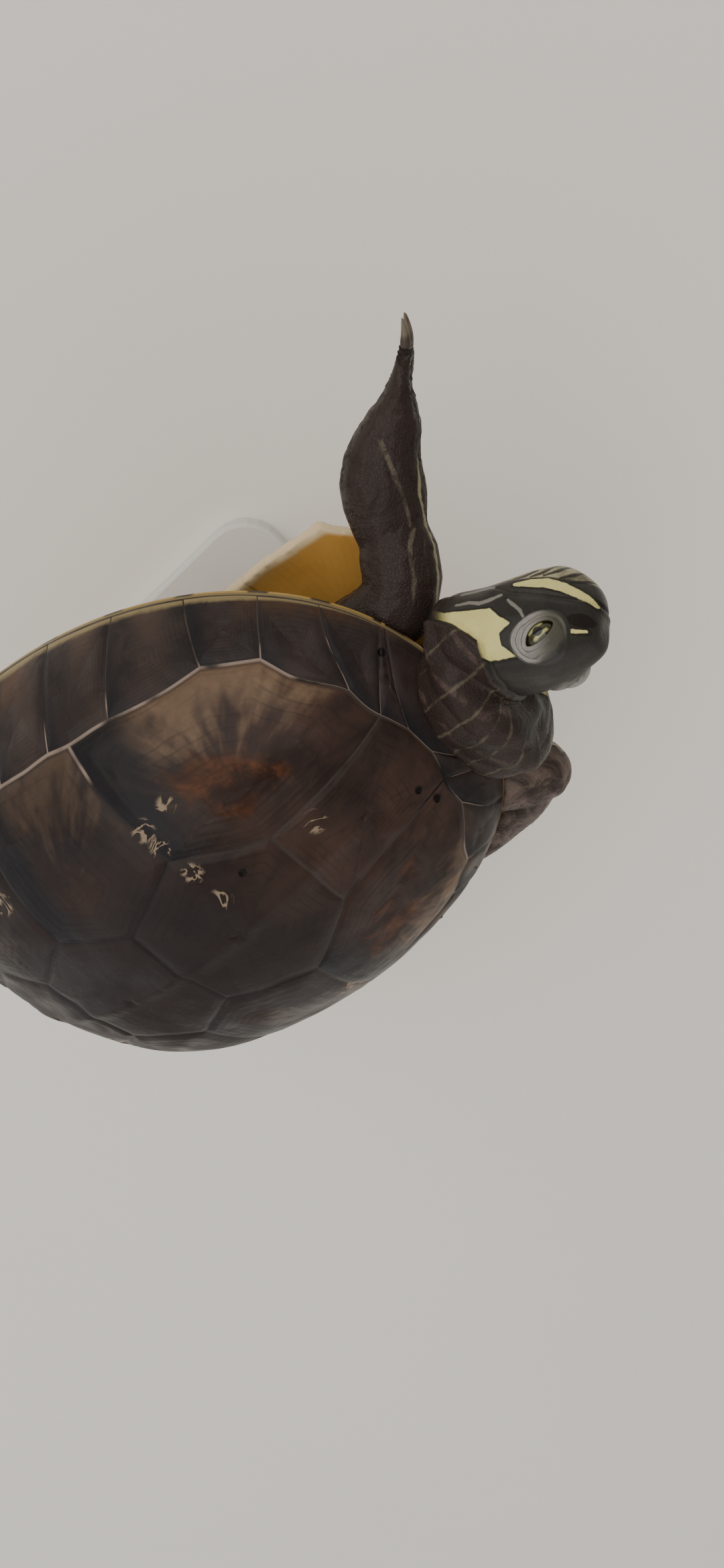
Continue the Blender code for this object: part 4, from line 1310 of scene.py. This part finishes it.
# %% Stripes on limbs, neck and tail
# rows: half-width in mm, then knots of share of the way from body to toes and degrees
# round the limb from its front edge (90 is on top)
HIND_BRIGHT = ((0.50, (0.20, 20), (0.75, 20)), (0.50, (0.15, -25), (0.80, -25)))
HIND_FAINT = ((0.40, (0.20, 60), (0.80, 60)), (0.45, (0.15, 105), (0.75, 105)),
              (0.60, (0.10, -80), (0.80, -80)))
BRIGHT_LINES = {
    "foreleg_left": ((0.62, (0.34, -12), (0.42, -2), (0.52, 5), (0.59, 27), (0.72, 28)),
                     (0.50, (0.05, -38), (0.70, -38))),
    "foreleg_right": ((0.55, (0.10, -12), (0.80, -12)),),
    "hindleg_left": HIND_BRIGHT,
    "hindleg_right": HIND_BRIGHT,
}
FAINT_LINES = {
    "foreleg_left": ((0.55, (0.34, 18), (0.43, 29), (0.49, 44), (0.55, 53), (0.64, 70),
                      (0.80, 95), (0.93, 120)),
                     (0.30, (0.38, 5), (0.46, 17), (0.56, 34)),
                     (0.50, (0.10, 150), (0.70, 150)), (0.60, (0.10, -75), (0.75, -75))),
    "foreleg_right": ((0.50, (0.10, 60), (0.75, 60)), (0.40, (0.15, 25), (0.65, 25)),
                      (0.50, (0.10, 120), (0.70, 120)), (0.60, (0.10, -60), (0.75, -60))),
    "hindleg_left": HIND_FAINT,
    "hindleg_right": HIND_FAINT,
    "neck": tuple((0.33, (0.20, at), (1.30, at)) for at in (165, 147, 128, 110, 88, 60, 30,
                                                           -10, -50, -90, -130)),
    "tail": tuple((0.32, (0.05, at), (0.90, at)) for at in (55, 125, 0, 180)),
}


def limb_path(limb):
    """Points along the middle of a limb, from the body outward."""
    if limb == "neck":
        return moved(POSE, [NECK_FROM, NECK_TO])
    nodes = [limb] if limb == "tail" else [f"{limb}_{part}" for part in LIMB_PARTS]
    ends = []
    for node in nodes:
        points = mesh_points(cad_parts[node].data)
        middle = points.mean(axis=0)
        axis = np.linalg.svd(points - middle, full_matrices=False)[2][0]
        reach = (points - middle) @ axis
        pair = [middle + axis * np.percentile(reach, 4), middle + axis * np.percentile(reach, 96)]
        ends.append(pair)
    root = np.array(POSE.translation)
    if np.linalg.norm(ends[0][0] - root) > np.linalg.norm(ends[0][1] - root):
        ends[0].reverse()
    for before, after in zip(ends, ends[1:]):
        if np.linalg.norm(after[0] - before[1]) > np.linalg.norm(after[1] - before[1]):
            after.reverse()
    path = [ends[0][0]]
    path += [(a[1] + b[0]) / 2 for a, b in zip(ends, ends[1:])]
    return np.array(path + [ends[-1][1]])


def round_limb(points, path, forward):
    """Distance from a limb's middle line, degrees round it, and share of the way out."""
    lengths = np.linalg.norm(np.diff(path, axis=0), axis=1)
    best = np.full(len(points), FAR_OFF)
    degrees = np.zeros(len(points))
    share = np.zeros(len(points))
    done = 0.0
    for start, end, length in zip(path, path[1:], lengths):
        axis = (end - start) / length
        ahead = forward - axis * (forward @ axis)
        ahead /= np.linalg.norm(ahead)
        above = np.cross(axis, ahead)
        above *= math.copysign(1.0, above[2])
        off = points - start
        t = np.clip(off @ axis, 0, length)
        gap = np.linalg.norm(off - t[:, None] * axis, axis=1)
        nearer = gap < best
        best = np.where(nearer, gap, best)
        turn = np.degrees(np.arctan2(off @ above, off @ ahead))
        degrees = np.where(nearer, turn, degrees)
        share = np.where(nearer, (done + t) / lengths.sum(), share)
        done += length
    return best, degrees, share


def line_gap(rows, best, degrees, share):
    """Signed distance in mm to the nearest of a limb's stripes."""
    nearest = np.full(len(best), 1e3)
    for half, *knots in rows:
        stops, angles = zip(*knots)
        begin, end = stops[0], stops[-1]
        apart = np.abs((degrees - np.interp(share, stops, angles) + 180) % 360 - 180)
        taper = smooth(share, begin - 0.02, begin + 0.08) * smooth(share, end, end - 0.12)
        gap = np.radians(apart) * best / MM - half * taper
        gap = np.where((share < begin) | (share > end), np.maximum(gap, 1.0), gap)
        nearest = np.minimum(nearest, gap)
    return nearest


def limb_lines(points):
    """Distances to the bright and the faint stripes, and the share of each place that
    belongs to the right foreleg."""
    bright = np.full(len(points), 1e3)
    faint = np.full(len(points), 1e3)
    nearest = np.full(len(points), 1e3)
    right = np.zeros(len(points))
    forward = np.array(POSE.to_3x3() @ Vector((1, 0, 0)))
    sway = noise_rows(points, 60.0, 13.0) * 5.0
    for limb in FAINT_LINES:
        path = limb_path(limb)
        way = np.array(POSE.to_3x3() @ Vector((0, 1, 0))) if limb in ("neck", "tail") else forward
        best, degrees, share = round_limb(points, path, way)
        mine = best < nearest
        nearest = np.where(mine, best, nearest)
        bright = np.where(mine, line_gap(BRIGHT_LINES.get(limb, ()), best, degrees + sway,
                                         share), bright)
        faint = np.where(mine, line_gap(FAINT_LINES[limb], best, degrees + sway, share), faint)
        right = np.where(mine, float(limb == "foreleg_right"), right)
    return bright, faint, right


def paint_skin(mesh):
    """Store what the skin's material needs."""
    points = mesh_points(mesh)
    for name, values in zip(("yellow", "grey", "dark", "collar"), head_marks(points)):
        store(mesh, name, values)
    for name, values in zip(("bright_line", "faint_line", "right_leg"), limb_lines(points)):
        store(mesh, name, values)
    store(mesh, "on_head", head_share(points))
    store(mesh, "head_at", head_places(points))


paint_skin(skin_mesh)

# %% Skin of the body
def body_skin(wire, skin):
    """Dark brown; a painted pinkish highlight on the crests of the neck's folds; paler on the
    right foreleg.
    """
    base = wire.mix(skin.tone, rgb(0.013, 0.009, 0.008), rgb(0.036, 0.023, 0.019))
    base = wire.tint(base, skin.speck, 0.25, rgb(0.055, 0.040, 0.033))
    # painted highlight: pinkish light on the crests of the neck's folds
    crest_highlight = wire.times(wire.read("crest", "Fac"), wire.step(skin.patch, 0.44, 0.62))
    base = wire.tint(base, crest_highlight, 0.40, rgb(0.130, 0.082, 0.070))
    leg = wire.mix(wire.step(skin.patch, 0.32, 0.68), rgb(0.034, 0.024, 0.021),
                   rgb(0.165, 0.118, 0.098))
    return wire.tint(base, wire.read("right_leg", "Fac"), 0.85, leg)


def limb_stripes(wire, skin, base):
    """Faint and bright stripes along limbs, neck and tail."""
    uneven = wire.swing(wire.noise(skin.coords, 300.0, 2.0), 0.9)
    faint = wire.step(wire.plus(wire.read("faint_line", "Fac"), uneven), 0.25, -0.30)
    faint = wire.times(faint, wire.step(skin.patch, 0.34, 0.58))
    base = wire.tint(base, faint, 0.62, rgb(0.130, 0.112, 0.075))
    bright = wire.step(wire.plus(wire.read("bright_line", "Fac"), uneven), 0.20, -0.20)
    return wire.tint(base, bright, 0.85,
                     wire.mix(skin.speck, rgb(0.230, 0.200, 0.105), rgb(0.400, 0.350, 0.200)))


# %% Skin of the head
def bare_skull(wire, skin):
    """Charcoal above, paler on the cheek, pale and streaked under the jaw."""
    up = wire.parts(wire.read("head_at"))[2]
    skull = wire.mix(skin.tone, rgb(0.013, 0.012, 0.011), rgb(0.032, 0.029, 0.025))
    skull = wire.tint(skull, skin.speck, 0.30, rgb(0.060, 0.055, 0.046))
    cheek = wire.times(wire.step(up, -0.02, -0.12), wire.step(skin.tone, 0.30, 0.70))
    skull = wire.tint(skull, cheek, 0.5, rgb(0.070, 0.055, 0.048))
    chin = wire.mix(wire.step(skin.patch, 0.30, 0.60), rgb(0.085, 0.072, 0.045),
                    rgb(0.330, 0.295, 0.185))
    return wire.mix(wire.step(up, -0.262, -0.285), skull, chin)


def skull_marks(wire, skin, skull):
    """Grey lines, the yellow marks in a dark rim, and dark lines over them."""
    ragged = wire.swing(wire.noise(skin.coords, 900.0, 2.0), 0.35)
    yellow = wire.read("yellow", "Fac")
    grey = wire.step(wire.plus(wire.read("grey", "Fac"), ragged), 0.14, -0.08)
    skull = wire.tint(skull, grey, 0.75, rgb(0.230, 0.215, 0.190))
    skull = wire.tint(skull, wire.step(yellow, 0.75, 0.35), 0.7, rgb(0.014, 0.012, 0.010))
    pale = wire.mix(wire.noise(skin.coords, 230.0, 3.0, 0.6), rgb(0.470, 0.410, 0.140),
                    rgb(0.650, 0.590, 0.260))
    skull = wire.mix(wire.step(wire.plus(yellow, ragged), 0.12, -0.12), skull, pale)
    dark = wire.step(wire.plus(wire.read("dark", "Fac"), ragged), 0.14, -0.14)
    return wire.tint(skull, dark, 0.92, rgb(0.013, 0.009, 0.007))


# %% Skin, put together
def skin_finish():
    """Dark brown skin with yellow marks, thin pale stripes and pebbled scales."""
    made, wire, shader = finish("slider_skin", coat_weight=0.08, coat_roughness=0.12,
                                specular_ior_level=0.11)
    coords = wire.coords()
    skin = SimpleNamespace(coords=coords, tone=wire.noise(coords, 60.0, 4.0, 0.6),
                           patch=wire.noise(coords, 150.0, 4.0, 0.65, 0.8),
                           speck=wire.noise(coords, 480.0, 3.0, 0.7))
    on_head = wire.times(wire.read("on_head", "Fac"),
                         wire.step(wire.read("collar", "Fac"), -0.9, 0.1))
    base = limb_stripes(wire, skin, body_skin(wire, skin))
    skull = skull_marks(wire, skin, bare_skull(wire, skin))
    pebbles = wire.group(PEBBLES, {"Vector": coords, "Scale": 1000.0})
    film = wire.group(FILM, {"Dry": 0.52, "Wet": 0.32, "Patch": 70.0})
    weight = wire.minus(1.0, wire.times(on_head, 0.75))
    height = wire.times(pebbles["Height"], weight)
    dress(wire, shader, wire.mix(on_head, base, skull), film["Roughness"],
          wire.bump(height, 0.00010))
    return made


add_piece("skin", skin_mesh, skin_finish(), FLESH)

# %% [markdown]
# ## Eyes and lids
# A turtle's eye is a dark ball with a yellow-green iris, crossed by a dark bar, behind a
# slanting almond of lid.  The ball is a true sphere, so it catches light as one.  The lids
# are a patch of loops from the almond's lip out to a crease, laid over the skin by casting
# rays at it; that gives the ring-shaped wrinkles for free.

# %% The eye's frame: along the slit, across it, and out
GAZE = Vector((0.19, 0.975, 0.10))
SLIT = Vector((0.70, 0.0, -0.72))
SLIT_HALF = 3.55 * MM
SLIT_OPEN = 1.75 * MM
LID = 0.42 * MM                 # how far the lid stands off the ball
LID_RING = 6.5 * MM             # radius of the lids' outer crease


def eye_frame(side):
    """The pose of one eye; side is 1 for the left."""
    out = Vector((GAZE.x, side * GAZE.y, GAZE.z)).normalized()
    along = SLIT - out * SLIT.dot(out)
    along.normalize()
    across = out.cross(along)
    turn = Matrix((along, across, out)).transposed().to_4x4()
    place = Vector((EYE_PLACE.x, side * EYE_PLACE.y, EYE_PLACE.z))
    return HEAD @ Matrix.Translation(place) @ turn


def eye_mesh(side):
    """A ball with its place in the eye's frame kept on it."""
    bm = bmesh.new()
    bmesh.ops.create_uvsphere(bm, u_segments=64, v_segments=40, radius=EYE_RADIUS)
    mesh = bpy.data.meshes.new("eye")
    bm.to_mesh(mesh)
    bm.free()
    store(mesh, "eye_at", mesh_points(mesh) / EYE_RADIUS)
    mesh.transform(eye_frame(side))
    return mesh


def eye_finish():
    """Yellow-green iris with a round pupil and a dark bar, on a dark ball."""
    made, wire, shader = finish("eye", roughness=0.10, coat_weight=0.5, coat_roughness=0.04,
                                specular_ior_level=0.25)
    at = wire.read("eye_at")
    along, across, _ = wire.parts(at)
    off = wire.minus(across, 0.09)
    far = wire.math("SQRT", wire.plus(wire.times(along, along), wire.times(off, off)))
    spokes = wire.noise(wire.stretch(at, (30.0, 30.0, 4.0)), 1.0, 3.0, 0.7)
    iris = wire.mix(spokes, rgb(0.200, 0.195, 0.060), rgb(0.520, 0.500, 0.210))
    dark = rgb(0.020, 0.015, 0.004)
    iris = wire.mix(wire.step(across, -0.17, -0.27), iris, dark)
    bar = wire.step(wire.math("ABSOLUTE", off), 0.17, 0.12)
    colour = wire.tint(iris, bar, 0.94, dark)
    colour = wire.mix(wire.step(far, 0.27, 0.23), colour, rgb(0.006, 0.005, 0.004))
    colour = wire.mix(wire.step(wire.math("ABSOLUTE", along), 0.36, 0.50), colour, dark)
    dress(wire, shader, colour)
    return made


EYE_FINISH = eye_finish()
for word, side in (("left", 1), ("right", -1)):
    add_piece(f"eyeball_{word}", eye_mesh(side), EYE_FINISH, [f"eye_{word}"])

# %% The lids
def skin_tree():
    """The skin, ready for rays."""
    bm = bmesh.new()
    bm.from_mesh(skin_mesh)
    tree = BVHTree.FromBMesh(bm)
    bm.free()
    return tree


AROUND = 96                     # places on each loop of the lids
TUCKED, TURNED = -2, -1         # loops inside the lip, where it turns in to the ball
LID_LOOPS = (TUCKED, TURNED, 0.0, 0.03, 0.07, *np.linspace(0.12, 1.0, 26))
RAY_FROM = 12 * MM              # a ray to the skin starts this far out
LID_BLEND = 1.2 * MM            # how softly the lid on the ball runs into the skin


def lid_place(angle, share):
    """Place in the lids' own plane, on the way from the lip to the crease."""
    c, s = math.cos(angle), math.sin(angle)
    lip = Vector((SLIT_HALF * c, SLIT_OPEN * math.copysign(abs(s) ** 1.25, s)))
    loose = 1 + 0.05 * math.cos(2 * angle + 0.6) + 0.035 * math.sin(3 * angle)
    ring = Vector((c, 0.92 * s)) * LID_RING * loose
    return lip.lerp(ring, max(share, 0.0))


def turned_in(at, share):
    """The lip's edge, where it turns in and meets the ball."""
    radius = EYE_RADIUS + (-0.10 * MM if share == TUCKED else LID * 0.55)
    at *= 1.05 if share == TUCKED else 0.985
    return Vector((at.x, at.y, math.sqrt(max(radius ** 2 - at.length_squared, 1e-12))))


def lid_height(far, angle, share, ground):
    """Height of the lid: on the ball inside, on the skin outside, in rings of wrinkles."""
    def soft(low, high):
        return float(smooth(np.float64(share), low, high))

    lump = 0.20 * MM * math.sin(min(share / 0.07, 1.0) * math.pi / 2)
    rise = math.sqrt(max((EYE_RADIUS + LID + lump) ** 2 - far * far, 0.0))
    ground = max(ground, 1.6 * MM - far * far / (30 * MM) - 5 * MM * share ** 2)
    toward = 0.5 + 0.5 * math.cos(angle - math.radians(135))
    phase = share * (3.3 + 0.5 * math.sin(angle)) + 0.10 * math.sin(3 * angle)
    wave = 0.13 * MM * math.cos(2 * math.pi * phase) * (0.30 + 0.70 * toward)
    wave *= soft(0.06, 0.20) * soft(1.0, 0.85)
    on_skin = ground + 0.42 * MM * (1 - share) ** 0.6 + 0.10 * MM
    mixed = 0.5 * (rise + on_skin + math.sqrt((rise - on_skin) ** 2
                                              + LID_BLEND ** 2 * share * 0.5))
    mixed += (on_skin - mixed) * soft(0.75, 1.0)
    return mixed + wave - 0.55 * MM * soft(0.90, 1.0)


def lid_mesh(side, tree):
    """Loops from the lip of the lids out to the crease round them."""
    pose = eye_frame(side)
    back = pose.inverted()
    out = (pose.to_3x3() @ Vector((0, 0, 1))).normalized()
    bm = bmesh.new()
    loops = []
    for share in LID_LOOPS:
        loop = []
        for k in range(AROUND):
            angle = 2 * math.pi * k / AROUND
            at = lid_place(angle, share)
            if share < 0:
                place = turned_in(at, share)
            else:
                start = pose @ Vector((at.x, at.y, RAY_FROM))
                hit = tree.ray_cast(start, -out, 2 * RAY_FROM)[0]
                ground = (back @ hit).z if hit is not None else 0.0
                place = Vector((at.x, at.y, lid_height(at.length, angle, share, ground)))
            loop.append(bm.verts.new(pose @ place))
        loops.append(loop)
    for low, high in zip(loops, loops[1:]):
        for i in range(AROUND):
            j = (i + 1) % AROUND
            bm.faces.new((low[i], low[j], high[j], high[i]))
    mesh = bpy.data.meshes.new("lids")
    bmesh.ops.recalc_face_normals(bm, faces=bm.faces)
    bm.to_mesh(mesh)
    bm.free()
    store(mesh, "ring", np.repeat(np.maximum(LID_LOOPS, 0.0), AROUND))
    store(mesh, "eye_at", moved(back, mesh_points(mesh)) / EYE_RADIUS)
    return mesh


# %% The lids' skin
def lid_finish():
    """Warm grey skin in loose rings, with painted shade in the creases between them, paler behind
    the eye.
    """
    made, wire, shader = finish("lid_skin", coat_weight=0.15, coat_roughness=0.10,
                                roughness=0.45, specular_ior_level=0.2)
    coords = wire.coords()
    ring = wire.read("ring", "Fac")
    along, across, _ = wire.parts(wire.read("eye_at"))
    behind = wire.step(wire.minus(across, along), -0.9, 0.9)
    drift = wire.times(wire.noise(coords, 200.0, 3.0), 0.34)
    far = wire.times(wire.plus(ring, drift), 3.4)
    fold = wire.math("ABSOLUTE", wire.minus(wire.math("FRACT", far), 0.5))
    tone = wire.noise(coords, 300.0, 3.0, 0.65)
    low = wire.mix(tone, rgb(0.050, 0.047, 0.035), rgb(0.100, 0.094, 0.070))
    high = wire.mix(tone, rgb(0.190, 0.176, 0.160), rgb(0.310, 0.290, 0.260))
    colour = wire.mix(behind, low, high)
    # painted shade: dark lines in the creases between the lid's rings, stronger behind the eye
    # where the folds are deeper
    crease = wire.times(wire.step(fold, 0.16, 0.02), wire.plus(0.25, wire.times(behind, 0.6)))
    colour = wire.mix(crease, colour, rgb(0.060, 0.056, 0.050))
    colour = wire.mix(wire.step(ring, 0.050, 0.010), colour, rgb(0.040, 0.034, 0.018))
    edge = wire.plus(ring, wire.swing(tone, 0.25))
    edge = wire.plus(edge, wire.times(wire.minus(1.0, behind), 0.22))
    colour = wire.mix(wire.step(edge, 0.78, 1.02), colour, rgb(0.024, 0.022, 0.019))
    pebbles = wire.group(PEBBLES, {"Vector": coords, "Scale": 1900.0})
    dress(wire, shader, colour, normal=wire.bump(pebbles["Height"], 0.00004))
    return made


LID_FINISH = lid_finish()
TREE = skin_tree()
for word, side in (("left", 1), ("right", -1)):
    add_piece(f"lids_{word}", lid_mesh(side, TREE), LID_FINISH, [])

# %% [markdown]
# ## Claws
# Each claw is a small horn cone.  The solids already curve and taper, so a smoothed copy
# of each is enough; the claws of one foot are joined.

# %% Smooth claws
CLAW_WELD = 0.005 * MM


def claw_mesh(nodes):
    """The claws of one foot, smoothed."""
    whole = bmesh.new()
    for node in nodes:
        whole.from_mesh(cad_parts[node].data)
    bmesh.ops.remove_doubles(whole, verts=whole.verts, dist=CLAW_WELD)
    bmesh.ops.join_triangles(whole, faces=whole.faces, angle_face_threshold=1.0,
                             angle_shape_threshold=1.6)
    mesh = bpy.data.meshes.new("claws")
    whole.to_mesh(mesh)
    whole.free()
    return modified(mesh, "SUBSURF", levels=2, render_levels=2)


def claw_finish():
    """Dark horn with paler patches and fine lengthwise grain."""
    made, wire, shader = finish("claw_horn", coat_weight=0.08, coat_roughness=0.15,
                                specular_ior_level=0.25)
    coords = wire.coords()
    grain = wire.noise(wire.stretch(coords, (1.0, 1.0, 3.0)), 600.0, 3.0)
    cloud = wire.noise(coords, 150.0, 2.0)
    colour = wire.mix(grain, rgb(0.022, 0.016, 0.013), rgb(0.065, 0.047, 0.034))
    colour = wire.mix(wire.step(cloud, 0.45, 0.60), colour, rgb(0.125, 0.098, 0.068))
    rough = wire.plus(0.28, wire.times(grain, 0.2))
    dress(wire, shader, colour, rough, wire.bump(grain, 0.0001))
    return made


CLAW_FINISH = claw_finish()
for limb, digits in LIMBS.items():
    nodes = [f"{limb}_claw_{k + 1}" for k in range(digits)]
    add_piece(f"claws_{limb}", claw_mesh(nodes), CLAW_FINISH, nodes)

# %% [markdown]
# ## The stand
# The stand is plain on purpose: a pale matt base and two brushed steel rods.  Its solids
# have the right shape, so they stay, with better materials.

# %% Base and rods
def base_finish():
    """Pale matt lacquer with a faint orange-peel."""
    made, wire, shader = finish("base_lacquer")
    coords = wire.coords()
    cloud = wire.noise(coords, 18.0, 3.0)
    peel = wire.noise(coords, 900.0, 2.0)
    colour = wire.mix(cloud, rgb(0.60, 0.585, 0.55), rgb(0.66, 0.645, 0.61))
    rough = wire.plus(0.48, wire.times(cloud, 0.14))
    dress(wire, shader, colour, rough, wire.bump(peel, 0.00006))
    return made


def steel_finish():
    """Steel brushed round the rod."""
    made, wire, shader = finish("brushed_steel", metallic=1.0)
    coords = wire.coords()
    lines = wire.noise(wire.stretch(coords, (8.0, 8.0, 900.0)), 4.0, 3.0)
    colour = wire.mix(lines, rgb(0.46, 0.46, 0.45), rgb(0.62, 0.62, 0.61))
    rough = wire.plus(0.24, wire.times(lines, 0.16))
    dress(wire, shader, colour, rough, wire.bump(lines, 0.00004))
    return made


def repaint(node, material):
    """Give a solid that stays a better material."""
    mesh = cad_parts[node].data
    if not mesh.materials:
        mesh.materials.append(material)
    for index in range(len(mesh.materials)):
        mesh.materials[index] = material


repaint("stand_base", base_finish())
STEEL_FINISH = steel_finish()
for node in ("stand_rod_front", "stand_rod_rear"):
    repaint(node, STEEL_FINISH)
print("stand repainted")

# %% [markdown]
# ## Floor, light and camera
# A plain pale floor and a few large soft lamps show the form without stealing the scene.
# The camera looks steeply down over the animal's left shoulder with a wide lens, as
# someone does who leans over a pond.

# %% Floor
def floor_finish():
    """Plain pale paper."""
    made, wire, shader = finish("floor_paper", roughness=0.85)
    coords = wire.coords()
    cloud = wire.noise(coords, 3.0, 2.0)
    dress(wire, shader, wire.mix(cloud, rgb(0.78, 0.75, 0.69), rgb(0.82, 0.79, 0.73)))
    return made


bpy.ops.mesh.primitive_plane_add(size=12.0)
floor = bpy.context.active_object
floor.name = "floor"
floor.data.materials.append(floor_finish())

# %% Lamps and the room's soft light
LAMPS = (
    ("key", (0.10, 1.75, 1.95), 3.2, 62.0, (1.0, 0.975, 0.93)),
    ("fill", (-2.10, 0.30, 1.70), 3.0, 24.0, (0.96, 0.97, 1.0)),
    ("back", (-0.60, -2.30, 1.60), 3.0, 24.0, (1.0, 0.965, 0.92)),
)
TARGET = Vector((0.02, 0.0, 0.10))
for name, place, size, power, tint in LAMPS:
    data = bpy.data.lights.new(name, "AREA")
    data.shape = "SQUARE"
    data.size = size
    data.energy = power
    data.color = tint
    lamp = bpy.data.objects.new(name, data)
    lamp.location = place
    lamp.rotation_euler = (TARGET - Vector(place)).to_track_quat("-Z", "Y").to_euler()
    bpy.context.scene.collection.objects.link(lamp)

world = bpy.data.worlds.new("soft room")
bpy.context.scene.world = world
world.use_nodes = True
sky = world.node_tree.nodes["Background"]
sky.inputs["Color"].default_value = rgb(0.92, 0.90, 0.86)
sky.inputs["Strength"].default_value = 0.42
print("lamps:", len(LAMPS))

# %% Camera
CAMERA_PLACE = Vector((0.86, 0.466, 0.833)) * CL
CAMERA_LOOK = Vector((-0.500, -0.461, -0.733)).normalized()
CAMERA_RIGHT = Vector((0.749, -0.654, -0.100))
CAMERA_RIGHT = (CAMERA_RIGHT - CAMERA_LOOK * CAMERA_RIGHT.dot(CAMERA_LOOK)).normalized()
LENS = 18.46
SENSOR = 36.0

lens = bpy.data.cameras.new("camera")
lens.sensor_fit = "VERTICAL"
lens.sensor_height = SENSOR
lens.lens = LENS
lens.clip_start = 0.01
lens.clip_end = 50.0
camera = bpy.data.objects.new("camera", lens)
across = CAMERA_RIGHT
upward = across.cross(CAMERA_LOOK)
turn = Matrix((across, upward, -CAMERA_LOOK)).transposed().to_4x4()
camera.matrix_world = POSE @ Matrix.Translation(CAMERA_PLACE) @ turn
bpy.context.scene.collection.objects.link(camera)
bpy.context.scene.camera = camera
print("camera height:", round(camera.matrix_world.translation.z, 3))
